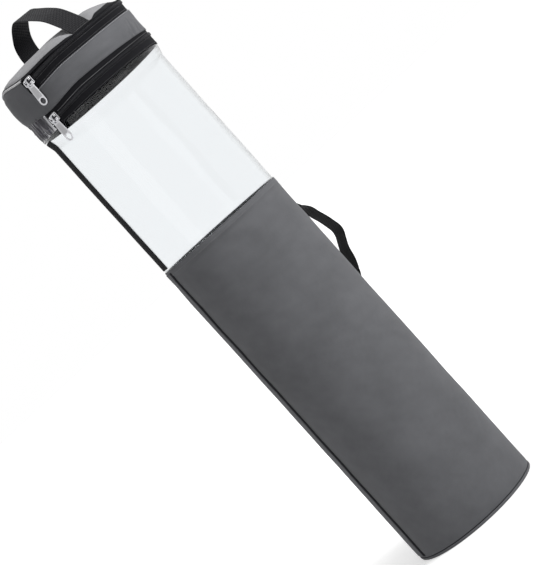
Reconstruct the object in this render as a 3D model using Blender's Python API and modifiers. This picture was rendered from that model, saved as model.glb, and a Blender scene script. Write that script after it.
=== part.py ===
# Gift wrap organizer: an upright tube with a clear window, a zipped lid, and a zipped pocket in the lid.
# Metres, +Z up. The origin is the middle of the base. +Y is the side with the hinges, -Y the side handle's.
import math

import bmesh
import bpy
from mathutils import Matrix, Vector

MM = 0.001

# Tube
TUBE_RADIUS = 118.3 * MM
SLEEVE_TOP = 630 * MM
SLEEVE_LAP = 12 * MM
FABRIC = 1.5 * MM
FILM = 1.0 * MM
FIT = 0.3 * MM
BASE_CORNER = 2.5 * MM
BASE_RIM = 3 * MM
STIFFENER = 2.0 * MM
STIFFENER_MARGIN = 9 * MM
BINDING_HEIGHT = 7 * MM
BINDING = 0.8 * MM
SEAM_WIDTH = 40 * MM
SEAM = 0.9 * MM
SEAM_END = 4 * MM
MOUTH_FLARE = 4.3 * MM
FLARE_HEIGHT = 23 * MM

# Zippers, each round a ring
TAPE = 1.0 * MM
TAPE_HEIGHT = 23 * MM
TAPE_LAP = 13 * MM
CHAIN_GAP = 1.4 * MM
COIL_DEPTH = 2.0 * MM
COIL_RAIL = 1.0 * MM
COIL_TOOTH = 1.6 * MM
TAPE_EDGE = 0.1 * MM
TEETH = 64
STOP_WIDTH = 1.6 * MM
STOP_MARGIN = 1.2 * MM
PARK_GAP = 1.2 * MM

# Lid and its pocket
LID_CHAIN_HEIGHT = 938 * MM
LID_WALL_RISE = 8 * MM
LID_WALL_HEIGHT = 44 * MM
LID_TAPE_LAP = 8 * MM
POCKET_CHAIN_RISE = 17.5 * MM
FOLD_WIDTH = 9 * MM
PANEL = 1.2 * MM
PANEL_RISE = 16 * MM
PIPING_RADIUS = 1.1 * MM
HINGE_MARGIN = 1.5 * MM
FLOOR_FLANGE = 8 * MM
FLOOR_GAP = 4 * MM
LID_HINGE_HALF_ANGLE = math.radians(25)
POCKET_HINGE_HALF_ANGLE = math.radians(30)

# Sliders and pulls
SLIDER_LENGTH = 20 * MM
SLIDER_WIDTH = 14.5 * MM
SLIDER_TAIL_WIDTH = 11 * MM
SLIDER_CORNER = 1.6 * MM
SLIDER_PLATE = 1.3 * MM
SLIDER_BACK_PLATE = 1.5 * MM
SLIDER_BACK_WIDTH = 10 * MM
CHANNEL_WIDTH = 7.3 * MM
WEB = 0.7 * MM
WEB_LENGTH = 6.5 * MM
BAIL_SPAN = 7.2 * MM
BAIL_THICKNESS = 1.3 * MM
BAIL_WIDTH = 2.4 * MM
BAIL_HEIGHT = 3.1 * MM
BAIL_CORNER = 1.3 * MM
PULL_THICKNESS = 1.5 * MM
PULL_LENGTH = 42 * MM
PULL_TIP_WIDTH = 15.5 * MM
PULL_NECK_WIDTH = 13 * MM
PULL_HOLE_RADIUS = 5 * MM
PULL_PLAY = 0.4 * MM
EYE_WIDTH = 6.4 * MM
EYE_LENGTH = 4.3 * MM
POCKET_PULL_LEAN = math.radians(-3)
LID_PULL_LEAN = 0.0

# Webbing handles
WEBBING = 1.6 * MM
WEBBING_WIDTH = 38 * MM
TOP_HANDLE_INSET = 13 * MM
TOP_HANDLE_PIVOT_RISE = 22 * MM
TOP_HANDLE_ARCH = 58 * MM
TOP_TAB_ABOVE_PIVOT = 3 * MM
TOP_TAB_FOOT = 10 * MM
TOP_TAB_CORNER = 3 * MM
TOP_TAB_LIFT = 1.2 * MM
SIDE_HANDLE_LOW = 416 * MM
SIDE_HANDLE_SPAN = 150 * MM
SIDE_HANDLE_STANDOFF = 8.5 * MM
SIDE_HANDLE_ARCH = 29 * MM
SIDE_TAB_LENGTH = 32 * MM
SIDE_TAB_RISE = 11 * MM

# Counts
RING_STEPS = 60
PANEL_STEPS = 48
CORNER_STEPS = 3
ROUTE_STEPS = 2
TIP_STEPS = 10
HOLE_STEPS = 16
OVERRUN = 0.5 * MM
MERGE = 0.001 * MM

# Radii, each worked out from the one that it fits round
FILM_RADIUS = TUBE_RADIUS - FABRIC - FIT
MOUTH_RADIUS = FILM_RADIUS + MOUTH_FLARE
TAPE_RADIUS = MOUTH_RADIUS + FIT + TAPE
COIL_RADIUS = TAPE_RADIUS + FIT + COIL_DEPTH
LID_RADIUS = TAPE_RADIUS + FIT + FABRIC
PLATE_SEAT = COIL_RADIUS + FIT
PLATE_FACE = PLATE_SEAT + SLIDER_PLATE
CHANNEL_EDGE = TAPE_RADIUS + FIT
BACK_PLATE_FACE = math.sqrt((TAPE_RADIUS - TAPE - FIT) ** 2 - (SLIDER_LENGTH / 2) ** 2)

# Heights
BASE_TOP = BASE_CORNER + BASE_RIM
LID_WALL_BOTTOM = LID_CHAIN_HEIGHT + LID_WALL_RISE
LID_WALL_TOP = LID_WALL_BOTTOM + LID_WALL_HEIGHT
POCKET_CHAIN_HEIGHT = LID_WALL_TOP + POCKET_CHAIN_RISE
MOUTH_TOP = LID_CHAIN_HEIGHT - TAPE_HEIGHT + TAPE_LAP
TAPE_INNER_EDGE = CHAIN_GAP / 2 + TAPE_EDGE
FOLD_BOTTOM = POCKET_CHAIN_HEIGHT + SLIDER_BACK_WIDTH / 2 + 2 * FIT
FOLD_TOP = FOLD_BOTTOM + TAPE
PANEL_EDGE_BOTTOM = FOLD_TOP + FIT
PANEL_EDGE_TOP = PANEL_EDGE_BOTTOM + PANEL
PANEL_RADIUS = TAPE_RADIUS - FIT
PIPING_CENTRE_RADIUS = PANEL_RADIUS + FIT + PIPING_RADIUS
PIPING_HEIGHT = POCKET_CHAIN_HEIGHT + SLIDER_WIDTH / 2 + FIT + PIPING_RADIUS
BACK_PANEL_TOP = PIPING_HEIGHT - PIPING_RADIUS - FIT
LID_HINGE_Y = LID_RADIUS + HINGE_MARGIN
POCKET_HINGE_HEIGHT = PIPING_HEIGHT - PIPING_RADIUS
TOP_PIVOT_HEIGHT = PANEL_EDGE_TOP + TOP_HANDLE_PIVOT_RISE

# Directions round the bag
HINGE_SIDE = math.radians(90)
HANDLE_SIDE = math.radians(-90)
SEAM_SIDE = math.radians(78.7)

# Turns down the round end of the top handle's webbing
ROUND_END = [math.radians(turn) for turn in (22, 45, 67, 83)]

# Shares of the sizes named beside them. The panel's edge is (1, 0) and its middle (0, 1).
PANEL_SHARES = ((1, 0), (0.93, 0.03), (0.84, 0.13), (0.69, 0.42), (0.50, 0.72), (0.27, 0.93), (0, 1))
# Along half the top handle's span, and up its arch, which leans to one side as in use.
TOP_HANDLE_SHARES = (
    (-1, 0), (-0.99, 0.07), (-0.93, 0.14), (-0.80, 0.20), (-0.62, 0.31), (-0.33, 0.59), (0, 0.83), (0.16, 0.95),
    (0.30, 1), (0.45, 0.95), (0.62, 0.83), (0.86, 0.58), (0.97, 0.30), (1, 0),
)
# Out along the side handle's arch, and up its span.
SIDE_HANDLE_SHARES = (
    (0, 0), (0, 0.015), (0.03, 0.035), (0.15, 0.075), (0.35, 0.17), (0.50, 0.29), (0.76, 0.39), (0.95, 0.46),
    (1, 0.53), (0.91, 0.61), (0.78, 0.70), (0.60, 0.79), (0.42, 0.89), (0.15, 0.955), (0.02, 0.975), (0, 0.985),
    (0, 1),
)
# Out to the standoff of the side handle's sewn end, and up its rise.
SIDE_TAB_SHARES = ((0, 0), (0.10, 0.22), (0.42, 0.46), (0.80, 0.66), (1, 0.86), (1, 1))

# Colours, as red, green and blue, then metallic and roughness
FINISHES = {
    "grey_fabric": ((0.125, 0.127, 0.135), 0.0, 0.85),
    "light_fabric": ((0.30, 0.30, 0.315), 0.0, 0.85),
    "black_fabric": ((0.014, 0.014, 0.016), 0.0, 0.85),
    "webbing": ((0.016, 0.016, 0.018), 0.0, 0.8),
    "coil": ((0.012, 0.012, 0.014), 0.0, 0.45),
    "film": ((0.80, 0.84, 0.88), 0.0, 0.08),
    "board": ((0.10, 0.10, 0.11), 0.0, 0.6),
    "metal": ((0.62, 0.62, 0.64), 1.0, 0.28),
}


def start_scene():
    for old in list(bpy.data.objects):
        bpy.data.objects.remove(old, do_unlink=True)
    for name in ("gift_wrap_organizer", "cutters"):
        bpy.context.scene.collection.children.link(bpy.data.collections.new(name))


def material(name):
    found = bpy.data.materials.get(name)
    if found:
        return found
    colour, metallic, roughness = FINISHES[name]
    made = bpy.data.materials.new(name)
    made.use_nodes = True
    shader = made.node_tree.nodes["Principled BSDF"]
    shader.inputs["Base Color"].default_value = (*colour, 1)
    shader.inputs["Metallic"].default_value = metallic
    shader.inputs["Roughness"].default_value = roughness
    return made


def add(name, data, finish, joint=None):
    piece = bpy.data.objects.new(name, data)
    bpy.data.collections["gift_wrap_organizer"].objects.link(piece)
    if not data.materials:
        data.materials.append(material(finish))
    if joint:
        piece.parent = joint
        piece.matrix_parent_inverse = joint_frame(joint).inverted()
    return piece


def joint_frame(joint):
    own = Matrix.LocRotScale(joint.location, joint.rotation_euler, None)
    return joint_frame(joint.parent) @ own if joint.parent else own


def joint_empty(name, place, turn=(0, 0, 0), carrier=None):
    empty = bpy.data.objects.new(name, None)
    empty.location = place
    empty.rotation_euler = turn
    empty.parent = carrier
    bpy.data.collections["gift_wrap_organizer"].objects.link(empty)
    return empty


# Shells of revolution


def turned_shell(
    name, profile, thickness, finish, joint=None, middle=0.0, half_angle=math.pi, steps=RING_STEPS
):
    """A shell turned about the bag's axis. The profile is (radius, height) down the outer face."""
    whole = half_angle == math.pi
    mesh = bpy.data.meshes.new(name)
    edges = [(i, i + 1) for i in range(len(profile) - 1)]
    mesh.from_pydata([(radius, 0, height) for radius, height in profile], edges, [])
    piece = add(name, mesh, finish, joint)
    if not whole:
        piece.rotation_euler.z = middle - half_angle
    screw = piece.modifiers.new("turn", "SCREW")
    screw.angle = 2 * half_angle
    screw.steps = steps if whole else max(2, round(steps * half_angle / math.pi))
    screw.render_steps = screw.steps
    screw.use_merge_vertices = True
    screw.merge_threshold = MERGE
    wall = piece.modifiers.new("wall", "SOLIDIFY")
    wall.thickness = thickness
    wall.offset = -1
    wall.use_even_offset = True
    return piece


def spun_grid(heights, radius, sweep, steps):
    """An open band of quads round the Z axis, with a row of points at each height."""
    grid = bmesh.new()
    points = [grid.verts.new((radius, 0, height)) for height in heights]
    line = points + [grid.edges.new(pair) for pair in zip(points, points[1:])]
    bmesh.ops.spin(grid, geom=line, cent=(0, 0, 0), axis=(0, 0, 1), angle=sweep, steps=steps)
    for face in grid.faces:
        face.normal_update()
        if face.normal.dot(face.calc_center_median() * Vector((1, 1, 0))) < 0:
            face.normal_flip()
    return grid


def add_band(name, grid, thickness, finish, joint, start):
    mesh = bpy.data.meshes.new(name)
    grid.to_mesh(mesh)
    grid.free()
    piece = add(name, mesh, finish, joint)
    piece.rotation_euler.z = start
    wall = piece.modifiers.new("wall", "SOLIDIFY")
    wall.thickness = thickness
    wall.offset = -1
    wall.use_even_offset = True
    return piece


def ring_angle(length):
    """The angle that a length takes round the zipper's ring."""
    return length / TAPE_RADIUS


def row_half_angle(park):
    """Half of the hinge side's angle that is left without coil, so that a parked slider clears the rows."""
    return park + ring_angle(SLIDER_LENGTH / 2 + PARK_GAP)


def stop_angle(park):
    return park - ring_angle(SLIDER_LENGTH / 2 + FIT + STOP_WIDTH / 2)


def tape_half_angle(park):
    return stop_angle(park) - ring_angle(STOP_WIDTH / 2 + STOP_MARGIN)


def coil_row(name, chain_height, park, up, joint):
    """One side of a zipper's coil: a rail with pointed teeth, half a pitch from those of the other side."""
    tip = CHAIN_GAP / 2
    root = tip + COIL_TOOTH
    back = root + COIL_RAIL
    sweep = 2 * math.pi - 2 * row_half_angle(park)
    sign = 1 if up else -1
    edge = chain_height + sign * tip
    grid = spun_grid((chain_height + sign * back, edge), COIL_RADIUS, sweep, 2 * TEETH)
    pitch = sweep / (2 * TEETH)
    for point in grid.verts:
        step = round((math.atan2(point.co.y, point.co.x) % (2 * math.pi)) / pitch)
        if abs(point.co.z - edge) < MERGE and step % 2 == int(up):
            point.co.z = chain_height + sign * root
    return add_band(name, grid, COIL_DEPTH, "coil", joint, HINGE_SIDE + row_half_angle(park))


def zip_stops(name, chain_height, park, joint):
    """The two small metal blocks crimped on the lower tape, past the ends of a slider's travel."""
    height = COIL_RAIL + COIL_TOOTH
    middle = chain_height - CHAIN_GAP / 2 - height / 2
    for label, side in (("start", 1), ("end", -1)):
        block = bmesh.new()
        bmesh.ops.create_cube(block, size=1)
        bmesh.ops.scale(block, vec=(COIL_DEPTH, STOP_WIDTH, height), verts=block.verts)
        mesh = bpy.data.meshes.new(f"{name}_{label}_stop")
        block.to_mesh(mesh)
        block.free()
        piece = add(f"{name}_{label}_stop", mesh, "metal", joint)
        angle = HINGE_SIDE + side * stop_angle(park)
        reach = COIL_RADIUS - COIL_DEPTH / 2
        piece.location = (reach * math.cos(angle), reach * math.sin(angle), middle)
        piece.rotation_euler.z = angle


# Flat outlines and straps


def smooth_route(points):
    """A smooth curve through the points, the same curve at both sides of each."""
    ends = [points[0]] + list(points) + [points[-1]]
    route = []
    for a, b, c, d in zip(ends, ends[1:], ends[2:], ends[3:]):
        for i in range(ROUTE_STEPS):
            t = i / ROUTE_STEPS
            route.append(tuple(
                0.5 * (2 * q + (r - p) * t + (2 * p - 5 * q + 4 * r - s) * t ** 2 + (3 * q - p - 3 * r + s) * t ** 3)
                for p, q, r, s in zip(a, b, c, d)
            ))
    return route + [tuple(points[-1])]


def strap(name, route, half_widths, joint=None):
    """Webbing along a route of (out, height) in the XZ plane, its width along Y."""
    mesh = bpy.data.meshes.new(name)
    points = []
    for (out, height), half in zip(route, half_widths):
        points += [(out, -half, height), (out, half, height)]
    faces = [(2 * i, 2 * i + 1, 2 * i + 3, 2 * i + 2) for i in range(len(route) - 1)]
    mesh.from_pydata(points, [], faces)
    piece = add(name, mesh, "webbing", joint)
    wall = piece.modifiers.new("wall", "SOLIDIFY")
    wall.thickness = WEBBING
    wall.offset = 0
    wall.use_even_offset = True
    return piece


def arc(centre, radius, start, end, steps):
    """Points on an arc, from one angle to another."""
    angles = [start + (end - start) * i / steps for i in range(steps + 1)]
    return [(centre[0] + radius * math.cos(a), centre[1] + radius * math.sin(a)) for a in angles]


def prism(outline, depth, place, axes):
    """A solid mesh with the outline in the first two axes, and the depth both ways along the third."""
    across, up, through = axes
    solid = bmesh.new()
    base = [Vector(place) + across * a + up * b - through * (depth / 2) for a, b in outline]
    face = solid.faces.new([solid.verts.new(point) for point in base])
    grown = bmesh.ops.extrude_face_region(solid, geom=[face])
    moved = [item for item in grown["geom"] if isinstance(item, bmesh.types.BMVert)]
    bmesh.ops.translate(solid, vec=through * depth, verts=moved)
    bmesh.ops.recalc_face_normals(solid, faces=solid.faces)
    mesh = bpy.data.meshes.new("prism")
    solid.to_mesh(mesh)
    solid.free()
    return mesh


def fused(name, base, others):
    """The base mesh joined with, or cut by, the other meshes."""
    cutters = bpy.data.collections["cutters"]
    body = bpy.data.objects.new(name, base)
    cutters.objects.link(body)
    tools = []
    for mesh, operation in others:
        tool = bpy.data.objects.new(name + "_tool", mesh)
        tool.hide_render = True
        tool.display_type = "WIRE"
        cutters.objects.link(tool)
        tools.append(tool)
        step = body.modifiers.new("step", "BOOLEAN")
        step.operation = operation
        step.object = tool
        step.solver = "EXACT"
    graph = bpy.context.evaluated_depsgraph_get()
    result = bpy.data.meshes.new_from_object(body.evaluated_get(graph))
    result.name = name
    for used in [body] + tools:
        bpy.data.objects.remove(used, do_unlink=True)
    return result


# The tube


def tube():
    corner_radius = TUBE_RADIUS - BASE_CORNER
    corner = arc((corner_radius, BASE_CORNER), BASE_CORNER, 0, -math.pi / 2, CORNER_STEPS)
    turned_shell("base_panel", [(TUBE_RADIUS, BASE_TOP)] + corner + [(0, 0)], FABRIC, "grey_fabric")
    board_radius = TUBE_RADIUS - STIFFENER_MARGIN
    board_top = FABRIC + FIT + STIFFENER
    board = [(0, board_top), (board_radius, board_top), (board_radius, FABRIC + FIT), (0, FABRIC + FIT)]
    closed_turn("base_stiffener", board, "board")
    turned_shell("sleeve", [(TUBE_RADIUS, SLEEVE_TOP), (TUBE_RADIUS, BASE_TOP + FIT)], FABRIC, "grey_fabric")
    binding_top = BASE_TOP + BINDING_HEIGHT / 2
    binding_radius = TUBE_RADIUS - FABRIC - FIT
    binding = [(binding_radius, binding_top), (binding_radius, binding_top - BINDING_HEIGHT)]
    turned_shell("base_binding", binding, BINDING, "black_fabric")
    film_bottom = SLEEVE_TOP - SLEEVE_LAP
    flare_bottom = MOUTH_TOP - TAPE_LAP - FLARE_HEIGHT
    window = [
        (MOUTH_RADIUS, MOUTH_TOP), (MOUTH_RADIUS, MOUTH_TOP - TAPE_LAP), (FILM_RADIUS, flare_bottom),
        (FILM_RADIUS, film_bottom),
    ]
    turned_shell("window", window, FILM, "film")
    seam_half = SEAM_WIDTH / 2 / TUBE_RADIUS
    seam_radius = TUBE_RADIUS + FIT + SEAM
    seam = [(seam_radius, SLEEVE_TOP - SEAM_END), (seam_radius, BASE_TOP + FIT + SEAM_END)]
    turned_shell("sleeve_seam", seam, SEAM, "grey_fabric", middle=SEAM_SIDE, half_angle=seam_half)
    strip_lift = FIT + SEAM
    strip_top = MOUTH_TOP - TAPE_LAP - FIT
    strip_share = (strip_top - flare_bottom) / FLARE_HEIGHT
    strip = [
        (FILM_RADIUS + MOUTH_FLARE * strip_share + strip_lift, strip_top),
        (FILM_RADIUS + strip_lift, flare_bottom),
        (FILM_RADIUS + strip_lift, SLEEVE_TOP + FIT),
    ]
    turned_shell("window_seam_strip", strip, SEAM, "black_fabric", middle=SEAM_SIDE, half_angle=seam_half)


def closed_turn(name, outline, finish):
    """A solid disc turned from its whole outline, which starts and ends on the axis."""
    mesh = bpy.data.meshes.new(name)
    edges = [(i, i + 1) for i in range(len(outline) - 1)]
    mesh.from_pydata([(radius, 0, height) for radius, height in outline], edges, [])
    piece = add(name, mesh, finish)
    screw = piece.modifiers.new("turn", "SCREW")
    screw.steps = RING_STEPS
    screw.render_steps = RING_STEPS
    screw.use_merge_vertices = True
    screw.merge_threshold = MERGE
    return piece


def lid_zipper(lid_joint):
    park = LID_HINGE_HALF_ANGLE
    tape_half = math.pi - tape_half_angle(park)
    below = LID_CHAIN_HEIGHT - TAPE_INNER_EDGE
    lower = [(TAPE_RADIUS, below), (TAPE_RADIUS, MOUTH_TOP - TAPE_LAP)]
    turned_shell("lid_zip_lower_tape", lower, TAPE, "black_fabric", middle=HANDLE_SIDE, half_angle=tape_half)
    coil_row("lid_zip_lower_coil", LID_CHAIN_HEIGHT, park, False, None)
    zip_stops("lid_zip", LID_CHAIN_HEIGHT, park, None)
    upper_tape(park, lid_joint)
    coil_row("lid_zip_upper_coil", LID_CHAIN_HEIGHT, park, True, lid_joint)


def upper_tape(park, joint):
    """The lid's half of the tape. It ends above a parked slider, so that the lid can open past it."""
    heights = (
        LID_WALL_BOTTOM + LID_TAPE_LAP,
        LID_CHAIN_HEIGHT + SLIDER_WIDTH / 2 + PARK_GAP,
        LID_CHAIN_HEIGHT + TAPE_INNER_EDGE,
    )
    sweep = 2 * math.pi - 2 * tape_half_angle(park)
    grid = spun_grid(heights, TAPE_RADIUS, sweep, RING_STEPS)
    short = row_half_angle(park) - tape_half_angle(park)
    parked = [
        face for face in grid.faces
        if face.calc_center_median().z < heights[1] and not short < face_angle(face) < sweep - short
    ]
    bmesh.ops.delete(grid, geom=parked, context="FACES")
    start = HINGE_SIDE + tape_half_angle(park)
    add_band("lid_zip_upper_tape", grid, TAPE, "black_fabric", joint, start)


def face_angle(face):
    middle = face.calc_center_median()
    return math.atan2(middle.y, middle.x) % (2 * math.pi)


def lid_hinge_gussets(lid_joint):
    half = tape_half_angle(LID_HINGE_HALF_ANGLE) - ring_angle(FIT)
    hinge = LID_CHAIN_HEIGHT
    lower = [(TAPE_RADIUS, hinge - FIT / 2), (TAPE_RADIUS, MOUTH_TOP - TAPE_LAP)]
    turned_shell("mouth_gusset", lower, TAPE, "film", middle=HINGE_SIDE, half_angle=half)
    upper = [(TAPE_RADIUS, LID_WALL_BOTTOM + LID_TAPE_LAP), (TAPE_RADIUS, hinge + FIT / 2)]
    turned_shell("lid_gusset", upper, TAPE, "film", lid_joint, middle=HINGE_SIDE, half_angle=half)


def side_handle():
    """Webbing sewn to the sleeve at both ends. The arch swings about the line through its two feet."""
    foot = TUBE_RADIUS + SIDE_HANDLE_STANDOFF
    half = WEBBING_WIDTH / 2
    turn = (0, 0, HANDLE_SIDE)
    joint = joint_empty("side_handle_hinge", (0, -foot, SIDE_HANDLE_LOW))
    points = [
        (foot + SIDE_HANDLE_ARCH * out, SIDE_HANDLE_LOW + SIDE_HANDLE_SPAN * up) for out, up in SIDE_HANDLE_SHARES
    ]
    route = smooth_route(points)
    strap("side_handle", route, [half] * len(route), joint).rotation_euler = turn
    seat = TUBE_RADIUS + FIT + WEBBING / 2
    for name, end, sign in (
        ("side_handle_lower_end", SIDE_HANDLE_LOW - FIT, 1),
        ("side_handle_upper_end", SIDE_HANDLE_LOW + SIDE_HANDLE_SPAN + FIT, -1),
    ):
        rise = [
            (seat + (foot - seat) * out, end - sign * SIDE_TAB_RISE * (1 - up)) for out, up in SIDE_TAB_SHARES
        ]
        flat = [(seat, end - sign * SIDE_TAB_LENGTH)]
        strap(name, flat + rise, [half] * (len(rise) + 1)).rotation_euler = turn


# The lid


def lid(joint):
    wall = [(LID_RADIUS, LID_WALL_TOP), (LID_RADIUS, LID_WALL_BOTTOM)]
    turned_shell("lid_wall", wall, FABRIC, "grey_fabric", joint)
    floor_radius = TAPE_RADIUS - TAPE - FIT
    floor_bottom = LID_CHAIN_HEIGHT + SLIDER_WIDTH / 2 + FLOOR_GAP
    floor = [(floor_radius, floor_bottom + FLOOR_FLANGE), (floor_radius, floor_bottom), (0, floor_bottom)]
    turned_shell("lid_floor", floor, FABRIC, "black_fabric", joint)
    park = POCKET_HINGE_HALF_ANGLE
    tape_top = POCKET_CHAIN_HEIGHT - TAPE_INNER_EDGE
    lower = [(TAPE_RADIUS, tape_top), (TAPE_RADIUS, LID_WALL_TOP - LID_TAPE_LAP)]
    tape_half = math.pi - tape_half_angle(park)
    turned_shell("pocket_zip_lower_tape", lower, TAPE, "black_fabric", joint, HANDLE_SIDE, tape_half)
    coil_row("pocket_zip_lower_coil", POCKET_CHAIN_HEIGHT, park, False, joint)
    zip_stops("pocket_zip", POCKET_CHAIN_HEIGHT, park, joint)
    back_half = tape_half_angle(park) - ring_angle(FIT)
    back = [(LID_RADIUS, BACK_PANEL_TOP), (LID_RADIUS, LID_WALL_TOP + FIT)]
    turned_shell("pocket_back_panel", back, FABRIC, "grey_fabric", joint, HINGE_SIDE, back_half)


def flap(joint):
    """The top of the lid: a domed panel, with its half of the pocket's zipper."""
    dome = [(PANEL_RADIUS * out, PANEL_EDGE_TOP + PANEL_RISE * up) for out, up in reversed(PANEL_SHARES)]
    turned_shell("top_panel", dome, PANEL, "light_fabric", joint, steps=PANEL_STEPS)
    park = POCKET_HINGE_HALF_ANGLE
    row_half = math.pi - row_half_angle(park)
    fold = [
        (TAPE_RADIUS - FOLD_WIDTH, FOLD_TOP), (TAPE_RADIUS, FOLD_TOP),
        (TAPE_RADIUS, POCKET_CHAIN_HEIGHT + TAPE_INNER_EDGE),
    ]
    turned_shell("pocket_zip_upper_tape", fold, TAPE, "black_fabric", joint, HANDLE_SIDE, row_half)
    coil_row("pocket_zip_upper_coil", POCKET_CHAIN_HEIGHT, park, True, joint)
    hinge_half = tape_half_angle(park)
    piping("hinge_piping", HINGE_SIDE, hinge_half, "light_fabric", joint)
    piping("top_binding", HANDLE_SIDE, math.pi - hinge_half - ring_angle(FIT), "black_fabric", joint)


def piping(name, middle, half, finish, joint):
    """A cord along the edge of the top panel."""
    count = max(3, round(RING_STEPS * half / math.pi))
    curve = bpy.data.curves.new(name, "CURVE")
    curve.dimensions = "3D"
    curve.bevel_depth = PIPING_RADIUS
    curve.bevel_resolution = 1
    curve.use_fill_caps = True
    line = curve.splines.new("POLY")
    line.points.add(count)
    for i, point in enumerate(line.points):
        angle = middle - half + 2 * half * i / count
        x = PIPING_CENTRE_RADIUS * math.cos(angle)
        y = PIPING_CENTRE_RADIUS * math.sin(angle)
        point.co = (x, y, PIPING_HEIGHT, 1)
    return add(name, curve, finish, joint)


def top_handle(flap_joint):
    """Webbing across the top panel. The arch swings about the line through its two feet."""
    half = WEBBING_WIDTH / 2
    span = TUBE_RADIUS - TOP_HANDLE_INSET
    place = Vector((0, 0, TOP_PIVOT_HEIGHT)) - joint_frame(flap_joint).translation
    joint = joint_empty("top_handle_hinge", place, carrier=flap_joint)
    points = [(span * along, TOP_PIVOT_HEIGHT + TOP_HANDLE_ARCH * up) for along, up in TOP_HANDLE_SHARES]
    route = smooth_route(points)
    widths = [half] * len(route)
    round_end = [(half * math.sin(turn), half * math.cos(turn)) for turn in ROUND_END]
    for drop, width in round_end:
        route = [(-span, TOP_PIVOT_HEIGHT - drop)] + route + [(span, TOP_PIVOT_HEIGHT - drop)]
        widths = [width] + widths + [width]
    strap("top_handle", route, widths, joint)
    seat = PANEL_EDGE_TOP + TOP_TAB_LIFT + WEBBING / 2
    stand = span + WEBBING + FIT
    tab = [
        (stand + TOP_TAB_FOOT, seat), (stand + TOP_TAB_CORNER, seat), (stand, seat + TOP_TAB_CORNER),
        (stand, TOP_PIVOT_HEIGHT + TOP_TAB_ABOVE_PIVOT),
    ]
    strap("top_handle_rear_end", tab, [half] * len(tab), flap_joint)
    strap("top_handle_front_end", [(-x, z) for x, z in tab], [half] * len(tab), flap_joint)


# Sliders and pulls. In a slider's own frame X points out of the bag, Y along the zipper and Z up.


def slider_outline(width, tail_width, length):
    """Wide at the front, which faces the zipper's rows, and narrow at the tail."""
    front = length / 2
    wide = width / 2
    tail = tail_width / 2
    cut = SLIDER_CORNER
    half = [(front, wide - cut), (front - cut, wide), (0, wide), (-front + cut, tail), (-front, tail - cut)]
    return half + [(along, -across) for along, across in reversed(half)]


def slider_mesh():
    out, along, up = Vector((1, 0, 0)), Vector((0, 1, 0)), Vector((0, 0, 1))
    front_depth = PLATE_FACE - CHANNEL_EDGE
    shield = slider_outline(SLIDER_WIDTH, SLIDER_TAIL_WIDTH, SLIDER_LENGTH)
    front = prism(shield, front_depth, out * (PLATE_FACE - front_depth / 2), (along, up, out))
    reach = SLIDER_LENGTH / 2 + OVERRUN
    side = CHANNEL_WIDTH / 2
    slot = [(-reach, -side), (reach, -side), (reach, side), (-reach, side)]
    slot_depth = PLATE_SEAT - CHANNEL_EDGE + OVERRUN
    channel = prism(slot, slot_depth, out * (PLATE_SEAT - slot_depth / 2), (along, up, out))
    back_outline = slider_outline(SLIDER_BACK_WIDTH, SLIDER_BACK_WIDTH - SLIDER_CORNER, SLIDER_LENGTH)
    back_middle = BACK_PLATE_FACE - SLIDER_BACK_PLATE / 2
    back = prism(back_outline, SLIDER_BACK_PLATE, out * back_middle, (along, up, out))
    web_end = SLIDER_LENGTH / 2 - SLIDER_CORNER
    inner = BACK_PLATE_FACE - OVERRUN
    outer = PLATE_SEAT + OVERRUN
    web_box = [
        (inner, web_end - WEB_LENGTH), (outer, web_end - WEB_LENGTH), (outer, web_end), (inner, web_end),
    ]
    web = prism(web_box, WEB, Vector((0, 0, 0)), (out, along, up))
    foot = PLATE_FACE - OVERRUN
    half = BAIL_SPAN / 2
    inner_top = PLATE_FACE + BAIL_HEIGHT
    inner_arch = [(half, foot), (half, inner_top - BAIL_CORNER), (half - BAIL_CORNER, inner_top)]
    outer_half = half + BAIL_THICKNESS
    outer_top = inner_top + BAIL_THICKNESS
    outer_arch = [(outer_half, foot), (outer_half, outer_top - BAIL_CORNER), (outer_half - BAIL_CORNER, outer_top)]
    bail_outline = (
        outer_arch + [(-a, b) for a, b in reversed(outer_arch)]
        + [(-a, b) for a, b in inner_arch] + list(reversed(inner_arch))
    )
    bail = prism(bail_outline, BAIL_WIDTH, Vector((0, 0, 0)), (up, out, along))
    steps = [(channel, "DIFFERENCE"), (back, "UNION"), (web, "UNION"), (bail, "UNION")]
    mesh = fused("slider", front, steps)
    mesh.materials.clear()
    mesh.materials.append(material("metal"))
    return mesh


def pull_curve():
    """A flat pull: an eye for the bail at the top, a plate that widens, and a round hole at the tip."""
    bar = PULL_THICKNESS / 2
    tip_radius = PULL_TIP_WIDTH / 2
    tip_centre = (0, -(PULL_LENGTH - tip_radius))
    neck = PULL_NECK_WIDTH / 2
    corner = bar
    outline = arc(tip_centre, tip_radius, math.pi, 2 * math.pi, TIP_STEPS)
    outline += [(neck, -bar - EYE_LENGTH), (neck, bar - corner), (neck - corner, bar)]
    outline += [(corner - neck, bar), (-neck, bar - corner), (-neck, -bar - EYE_LENGTH)]
    eye_side = EYE_WIDTH / 2
    eye = [(-eye_side, -bar), (eye_side, -bar), (eye_side, -bar - EYE_LENGTH), (-eye_side, -bar - EYE_LENGTH)]
    hole = arc(tip_centre, PULL_HOLE_RADIUS, 0, 2 * math.pi, HOLE_STEPS)[:-1]
    curve = bpy.data.curves.new("pull", "CURVE")
    curve.dimensions = "2D"
    curve.fill_mode = "BOTH"
    curve.extrude = PULL_THICKNESS / 2
    for loop in (outline, eye, hole):
        spline = curve.splines.new("POLY")
        spline.points.add(len(loop) - 1)
        spline.use_cyclic_u = True
        for point, (along, up) in zip(spline.points, loop):
            point.co = (along, up, 0, 1)
    return curve


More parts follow.
